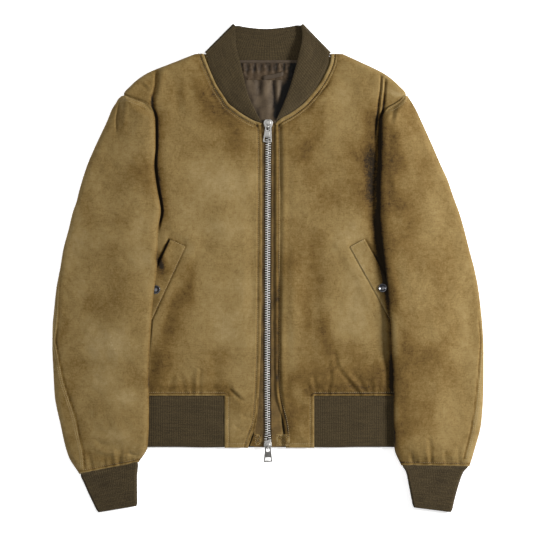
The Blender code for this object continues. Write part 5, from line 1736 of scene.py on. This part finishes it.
# %% Copies
def pick(*pieces):
    """Selects pieces and nothing else, and makes the first one active."""
    bpy.ops.object.select_all(action="DESELECT")
    for piece in pieces:
        piece.select_set(True)
    bpy.context.view_layer.objects.active = pieces[0]


def joined_copies(name, template, places):
    """One mesh that holds a copy of the template's mesh for each placing matrix."""
    source = template.data
    points = np.array([(*vertex.co, 1.0) for vertex in source.vertices])
    faces = [tuple(face.vertices) for face in source.polygons]
    all_points = np.concatenate([(np.array(place) @ points.T).T[:, :3] for place in places])
    all_faces = [tuple(n * len(points) + k for k in face) for n in range(len(places)) for face in faces]
    mesh = bpy.data.meshes.new(name)
    mesh.from_pydata(all_points.tolist(), [], all_faces)
    mesh.update()
    piece = bpy.data.objects.new(name, mesh)
    bpy.context.scene.collection.objects.link(piece)
    bpy.data.objects.remove(template, do_unlink=True)
    pick(piece)
    bpy.ops.object.shade_smooth_by_angle(angle=math.radians(50))
    return piece


def bevel(piece, width, segments=1, angle=30):
    """Rounds the edges of the active piece that are sharper than an angle."""
    edge = piece.modifiers.new("edge", "BEVEL")
    edge.width = width * MM
    edge.segments = segments
    edge.angle_limit = math.radians(angle)
    bpy.ops.object.modifier_apply(modifier=edge.name)


def rounded_block(size, place, edge):
    """A block with narrow bevels, its placing applied."""
    bpy.ops.mesh.primitive_cube_add(size=1.0, location=Vector(place) * MM)
    block = bpy.context.object
    block.scale = Vector(size) * MM
    bpy.ops.object.transform_apply(location=True, rotation=True, scale=True)
    bevel(block, edge)
    return block


# %% [markdown]
# ## Metal
#
# The zip is bright brushed metal with rounded wear, and the snaps are dark. Both are metallic
# shaders with fine noise in the roughness.

# %% Metal
def object_place(tree):
    """The place in the piece itself."""
    return outputs(add_node(tree, "ShaderNodeTexCoord"))["Object"]


def mapped(tree, value, **ends):
    """A value moved from one span to another."""
    settings = {key.replace("_", " "): end for key, end in ends.items()}
    return Wire(add_node(tree, "ShaderNodeMapRange", {"Value": value, **settings}).outputs[0])


def metal_paint(name, shown, roughness, shaded_below=None):
    """Metal with fine scratches in its shine, and painted shade that makes it dark below a height."""
    paint, tree, shader = new_paint(name, Metallic=1.0)
    place = object_place(tree)
    scratches = noise(tree, place, 900.0, 3.0)
    dull = mapped(tree, scratches, To_Min=roughness - 0.08, To_Max=roughness + 0.14)
    tree.links.new(dull.socket, shader.inputs["Roughness"])
    shade = scratches
    stops = [(0.3, tuple(0.86 * part for part in shown)), (0.7, shown)]
    if shaded_below is not None:
        # Painted shade: the teeth are dark below this height, down in the gaps between them.
        height = axes(tree, place)[2]
        shade = scratches * mapped(tree, height, From_Min=shaded_below - 0.0002,
                                   From_Max=shaded_below + 0.0002)
        stops.insert(0, (0.1, (0.03, 0.026, 0.02)))
    colour(tree, shader, shade, stops)
    relief(tree, shader, scratches, 0.00004, 0.4)
    return paint


zip_metal = metal_paint("zip_metal", (0.37, 0.36, 0.34), 0.40)
teeth_metal = metal_paint("teeth_metal", (0.93, 0.915, 0.88), 0.36, 0.0074)
snap_metal = metal_paint("snap_metal", (0.095, 0.095, 0.10), 0.20)

# %% [markdown]
# ### Teeth
#
# The two rows of teeth mesh because one row stands half a step lower than the other. At the foot
# the rows part a little, where the lower slider sits.

# %% Teeth
TOOTH_SIZE = (4.5, 1.3, 2.6)
TOOTH_PITCH = 3.8
CHAIN_TOP = 8.0
CHAIN_LENGTH = 510


def make_teeth(side):
    """A row of moulded metal teeth."""
    tooth = rounded_block(TOOTH_SIZE, (0, 0, 0), 0.2)
    places = []
    for n in range(int(CHAIN_LENGTH / TOOTH_PITCH)):
        y = 228.0 - TOOTH_PITCH * (n + (0.5 if side == "left" else 0.0))
        apart = 1.5 * float(ease((-262.0 - y) / 14.0))
        x = float(zip_centre(y)) + SIDES[side] * (1.75 + apart)
        places.append(Matrix.Translation(Vector((x, y, CHAIN_TOP - 1.3)) * MM))
    settle(joined_copies("teeth_" + side, tooth, places), teeth_metal, "zip_metal", "zip_chain")


for side in SIDES:
    make_teeth(side)

# %% [markdown]
# ### Sliders and pull tabs
#
# A plate is drawn as a flat curve, because a curve can have holes, and its bevel rounds every
# edge at once. The parts of a slider are joined into one piece. A pull tab stays a piece of its
# own, because it tips on the slider's bridge, so it rides on a body of its own too.

# %% Sliders and pull tabs
PLATE_LOW = 8.3
PLATE = 1.6
HINGE_HEIGHT = 11.6
PULL_END = -24.9
ZIP_FITTINGS = table(
    "name  y  turn  tilt  facing  size",
    ("top", 226.0, -3.5, 5.2, 1.0, 1.0), ("bottom", -287.6, 1.0, 22.5, -1.0, 0.86),
)


def flat_shape(name, outlines, thickness, edge):
    """A plate with rounded edges, from closed outlines: the first is solid, the rest are holes."""
    curve = bpy.data.curves.new(name, "CURVE")
    curve.dimensions = "2D"
    curve.fill_mode = "BOTH"
    curve.extrude = (thickness / 2 - edge) * MM
    curve.bevel_depth = edge * MM
    curve.bevel_resolution = 2
    curve.offset = -edge * MM
    for outline in outlines:
        spline = curve.splines.new("POLY")
        spline.points.add(len(outline) - 1)
        for point, (x, y) in zip(spline.points, outline):
            point.co = (x * MM, y * MM, 0, 1)
        spline.use_cyclic_u = True
    shape = bpy.data.objects.new(name, curve)
    bpy.context.scene.collection.objects.link(shape)
    pick(shape)
    bpy.ops.object.convert(target="MESH")
    edit((bpy.ops.mesh.remove_doubles, {"threshold": 0.000001}),
         (bpy.ops.mesh.normals_make_consistent, {"inside": False}))
    bpy.ops.object.shade_smooth_by_angle(angle=math.radians(40))
    return bpy.context.object


def rounded(corners, radius, steps=5):
    """A closed outline with its corners rounded."""
    result = []
    for n, corner in enumerate(corners):
        here = Vector(corner)
        before = here + (Vector(corners[n - 1]) - here).normalized() * radius
        after = here + (Vector(corners[(n + 1) % len(corners)]) - here).normalized() * radius
        for t in np.linspace(0, 1, steps + 1):
            result.append(tuple(before * (1 - t) ** 2 + here * 2 * t * (1 - t) + after * t ** 2))
    return result


def tapered(top, foot, top_width, foot_width, radius, steps=5):
    """A rounded outline, level at its top and foot, given by half its width there."""
    return rounded(((-top_width, top), (top_width, top), (foot_width, foot), (-foot_width, foot)),
                   radius, steps)


def join_pieces(name, pieces):
    """Joins objects into the first one and applies its placing."""
    pick(*pieces)
    bpy.ops.object.join()
    joined = bpy.context.object
    joined.name = name
    bpy.ops.object.transform_apply(location=True, rotation=True, scale=True)
    return joined


def make_slider(fitting):
    """A slider: a domed plate with rims beside the chain, and a bridge that holds the pull."""
    facing = fitting["facing"]
    size = fitting["size"]
    name = "slider_" + fitting["name"]
    x = float(zip_centre(fitting["y"]))
    y = fitting["y"] + 5.3
    corners = [(-px * size, py * facing) for px, py in ((4.6, 6.5), (7.4, 2.8), (7.0, -1.0), (5.4, -6.5))]
    corners += [(-px, py) for px, py in corners[::-1]]
    plate = flat_shape(name, [rounded(corners, 1.5)], PLATE, 0.5)
    plate.location = Vector((x, y, PLATE_LOW + PLATE / 2)) * MM
    top = Vector((x, y + 1.2 * facing, PLATE_LOW + PLATE)) * MM
    bpy.ops.mesh.primitive_uv_sphere_add(segments=24, ring_count=10, radius=1.0, location=top)
    dome = bpy.context.object
    dome.scale = Vector((4.6 * size, 4.2, 0.8)) * MM
    bpy.ops.object.shade_smooth()
    rims = [rounded_block((1.5, 8.0, 2.8), (x + sign * 5.5 * size, y, 7.05), 0.4) for sign in (-1, 1)]
    bpy.ops.mesh.primitive_torus_add(
        location=Vector((x, fitting["y"], HINGE_HEIGHT)) * MM, rotation=(0, math.pi / 2, 0),
        major_radius=2.6 * MM, minor_radius=0.85 * MM, major_segments=28, minor_segments=12)
    bridge = bpy.context.object
    bpy.ops.object.shade_smooth()
    piece = join_pieces(name, [plate, dome, *rims, bridge])
    settle(piece, zip_metal, "zip_metal", "zip_slider_" + fitting["name"])


def make_pull(fitting):
    """A pull tab: a tapered plate with a slot for the bridge, a raised middle and a window."""
    name = "pull_" + fitting["name"]
    outlines = (tapered(1.0, PULL_END, 4.6, 7.0, 1.4), tapered(-6.8, -1.0, 2.8, 2.6, 0.9, 4),
                tapered(PULL_END + 2.0, PULL_END + 7.6, 5.0, 4.3, 0.9, 4))
    tab = flat_shape(name, outlines, 1.4, 0.35)
    boss = flat_shape(name + "_boss", [tapered(-8.2, -16.2, 2.6, 3.2, 1.1)], 1.9, 0.3)
    piece = join_pieces(name, [tab, boss])
    tilt = Matrix.Rotation(math.radians(fitting["tilt"]), 4, "X")
    turn = Matrix.Rotation(math.radians(fitting["turn"]), 4, "Z")
    spot = Vector((float(zip_centre(fitting["y"])), fitting["y"], HINGE_HEIGHT)) * MM
    piece.data.transform(Matrix.Translation(spot) @ tilt @ turn)
    settle(piece, zip_metal, "zip_metal", "zip_" + name, body=name)


for fitting in ZIP_FITTINGS:
    make_slider(fitting)
    make_pull(fitting)

# %% [markdown]
# ### Snaps
#
# A snap's cap is a short cylinder. Two insets cut its top face: the first leaves a rim, and the
# second sinks the middle. A bevel then rolls the rim over.

# %% Snaps
SNAP_HEIGHT = 11.9


def make_snap(side):
    """A snap's cap: a rolled rim around a dished middle."""
    corner, run, square = welt_axes(side)
    x, y = corner + run * (WELT_LENGTH / 2) + square * (WELT_WIDTH / 2 + 1.0)
    bpy.ops.mesh.primitive_cylinder_add(vertices=40, radius=6.9 * MM, depth=3.2 * MM,
                                        location=Vector((SIDES[side] * x, y, SNAP_HEIGHT)) * MM)
    piece = bpy.context.object
    piece.name = "snap_cap_" + side
    for face in piece.data.polygons:
        face.select = face.normal.z > 0.9
    edit((bpy.ops.mesh.select_mode, {"type": "FACE"}), (bpy.ops.mesh.inset, {"thickness": 1.2 * MM}),
         (bpy.ops.mesh.inset, {"thickness": 2.8 * MM, "depth": -1.7 * MM}), everything=False)
    bevel(piece, 0.5, 3, 20)
    bpy.ops.object.shade_smooth()
    settle(piece, snap_metal, "snap_metal", "snap_" + side)


for side in SIDES:
    make_snap(side)

# %% [markdown]
# ## Stitching
#
# Topstitching holds the edges flat, and each thread bites into the padding. The grooves are in
# the cloth already, so here the threads are dropped onto it: a ray straight down finds the
# cloth's height and slope at every stitch, and one small stitch is copied to each spot.

# %% Stitching
STITCH_LENGTH = 2.5
STITCH_STEP = 3.3
THREAD = 0.34
# Rows of stitches along a front: the seam, how far off it, and what is left bare at both ends.
FRONT_STITCHES = (("neck", 5.4, 4, 6), ("neck", 9.4, 4, 6), ("zip", 6.0, 8, 4), ("hem", 5.6, 0, 30),
                  ("block", -6.6, 2, 2), ("foot", 6.6, 2, 2))


def beside(path, offset):
    """A path moved sideways, to its left as seen along it."""
    path = np.array(path, float)
    path = path[np.concatenate([[True], np.hypot(*np.diff(path, axis=0).T) > 1e-6])]
    path = resampled(path, max(3, int(distances(path)[-1] / 4)))
    run = np.gradient(path, axis=0)
    run /= np.hypot(run[:, 0], run[:, 1])[:, None]
    return path + offset * np.stack([-run[:, 1], run[:, 0]], 1)


def stitch_places(tree, side, path, offset=0.0, start=0.0, end=0.0):
    """Placing matrices of the stitches beside a path that is given from the centre line."""
    path = beside(path, offset) * (SIDES[side], 1.0)
    reach = distances(path)
    spots = np.arange(start + STITCH_STEP / 2, reach[-1] - end, STITCH_STEP)
    here, behind, ahead = (np.stack([np.interp(spots + step, reach, path[:, k]) for k in range(2)], 1)
                           for step in (0, -1, 1))
    places = []
    for (x, y), heading in zip(here, ahead - behind):
        found, normal, face, distance = tree.ray_cast(Vector((x * MM, y * MM, 0.06)), Vector((0, 0, -1)))
        if found is None or normal.z < 0.2:
            continue
        along = Vector((*heading, 0.0))
        along = (along - normal * along.dot(normal)).normalized()
        turn = Matrix((along, normal.cross(along), normal)).transposed().to_4x4()
        places.append(Matrix.Translation(found + normal * 0.00008) @ turn)
    return places


def stitch(name, cloth, side, rows):
    """One joined mesh of stitches on a piece of cloth, from rows of a path and its settings."""
    tree = BVHTree.FromObject(cloth, bpy.context.evaluated_depsgraph_get())
    places = [place for row in rows for place in stitch_places(tree, side, *row)]
    bpy.ops.mesh.primitive_uv_sphere_add(segments=6, ring_count=5, radius=1.0)
    one = bpy.context.object
    bpy.ops.transform.rotate(value=math.pi / 2, orient_axis="Y", center_override=(0, 0, 0))
    bpy.ops.object.transform_apply(rotation=True)
    one.scale = Vector((STITCH_LENGTH / 2, THREAD, THREAD)) * MM
    bpy.ops.object.transform_apply(scale=True)
    settle(joined_copies(name, one, places), thread, "shell")
    print(name, len(places), "stitches")


def thread_paint():
    """Cotton thread, a little paler than the cloth."""
    paint, tree, shader = new_paint("thread", Roughness=0.75, Sheen_Weight=0.2)
    shade = noise(tree, object_place(tree), 60.0, 3.0)
    colour(tree, shader, shade, ((0.35, (0.15, 0.105, 0.038)), (0.65, (0.30, 0.225, 0.10))))
    return paint


thread = thread_paint()
for side, cloth in fronts.items():
    stitch("front_stitches_" + side, cloth, side,
           [(FRONT_SEAMS[side][name], *settings) for name, *settings in FRONT_STITCHES])

for side, cloth in sleeves.items():
    head = sleeve_head(side, 4)
    rear = REAR_SEAM[side]
    stitch("sleeve_stitches_" + side, cloth, side, (
        (head, 2.6, 1, 2), (head, 7.6, 1, 2), (rear, 2.8, 2, 2), (rear, 6.0, 2, 2),
        (sleeve_end(side), 5.4, 9, 9)))

for side, cloth in welts.items():
    corner, run, square = welt_axes(side)
    ends = [(1.3, 1.5, 1.3, WELT_LENGTH - 1.5)]
    ends += [(2, down, WELT_WIDTH - 2, down) for down in (1.4, WELT_LENGTH - 1.4)]
    stitch("welt_stitches_" + side, cloth, side, [
        ((corner + square * a + run * b, corner + square * c + run * d),) for a, b, c, d in ends])

for side, cloth in patches.items():
    near, far = sorted(abs(PATCHES[side]["across"][k]) for k in (0, -1))
    top, foot = PATCH_TOP - 2.2, PATCH_FOOT + 2.2
    box = ((near + 2.2, top), (far - 2.2, top), (far - 2.2, foot), (near + 2.2, foot))
    stitch("patch_stitches_" + side, cloth, side, [
        ((box[a], box[b]),) for a, b in ((0, 1), (1, 2), (2, 3), (3, 0), (0, 2), (1, 3))])
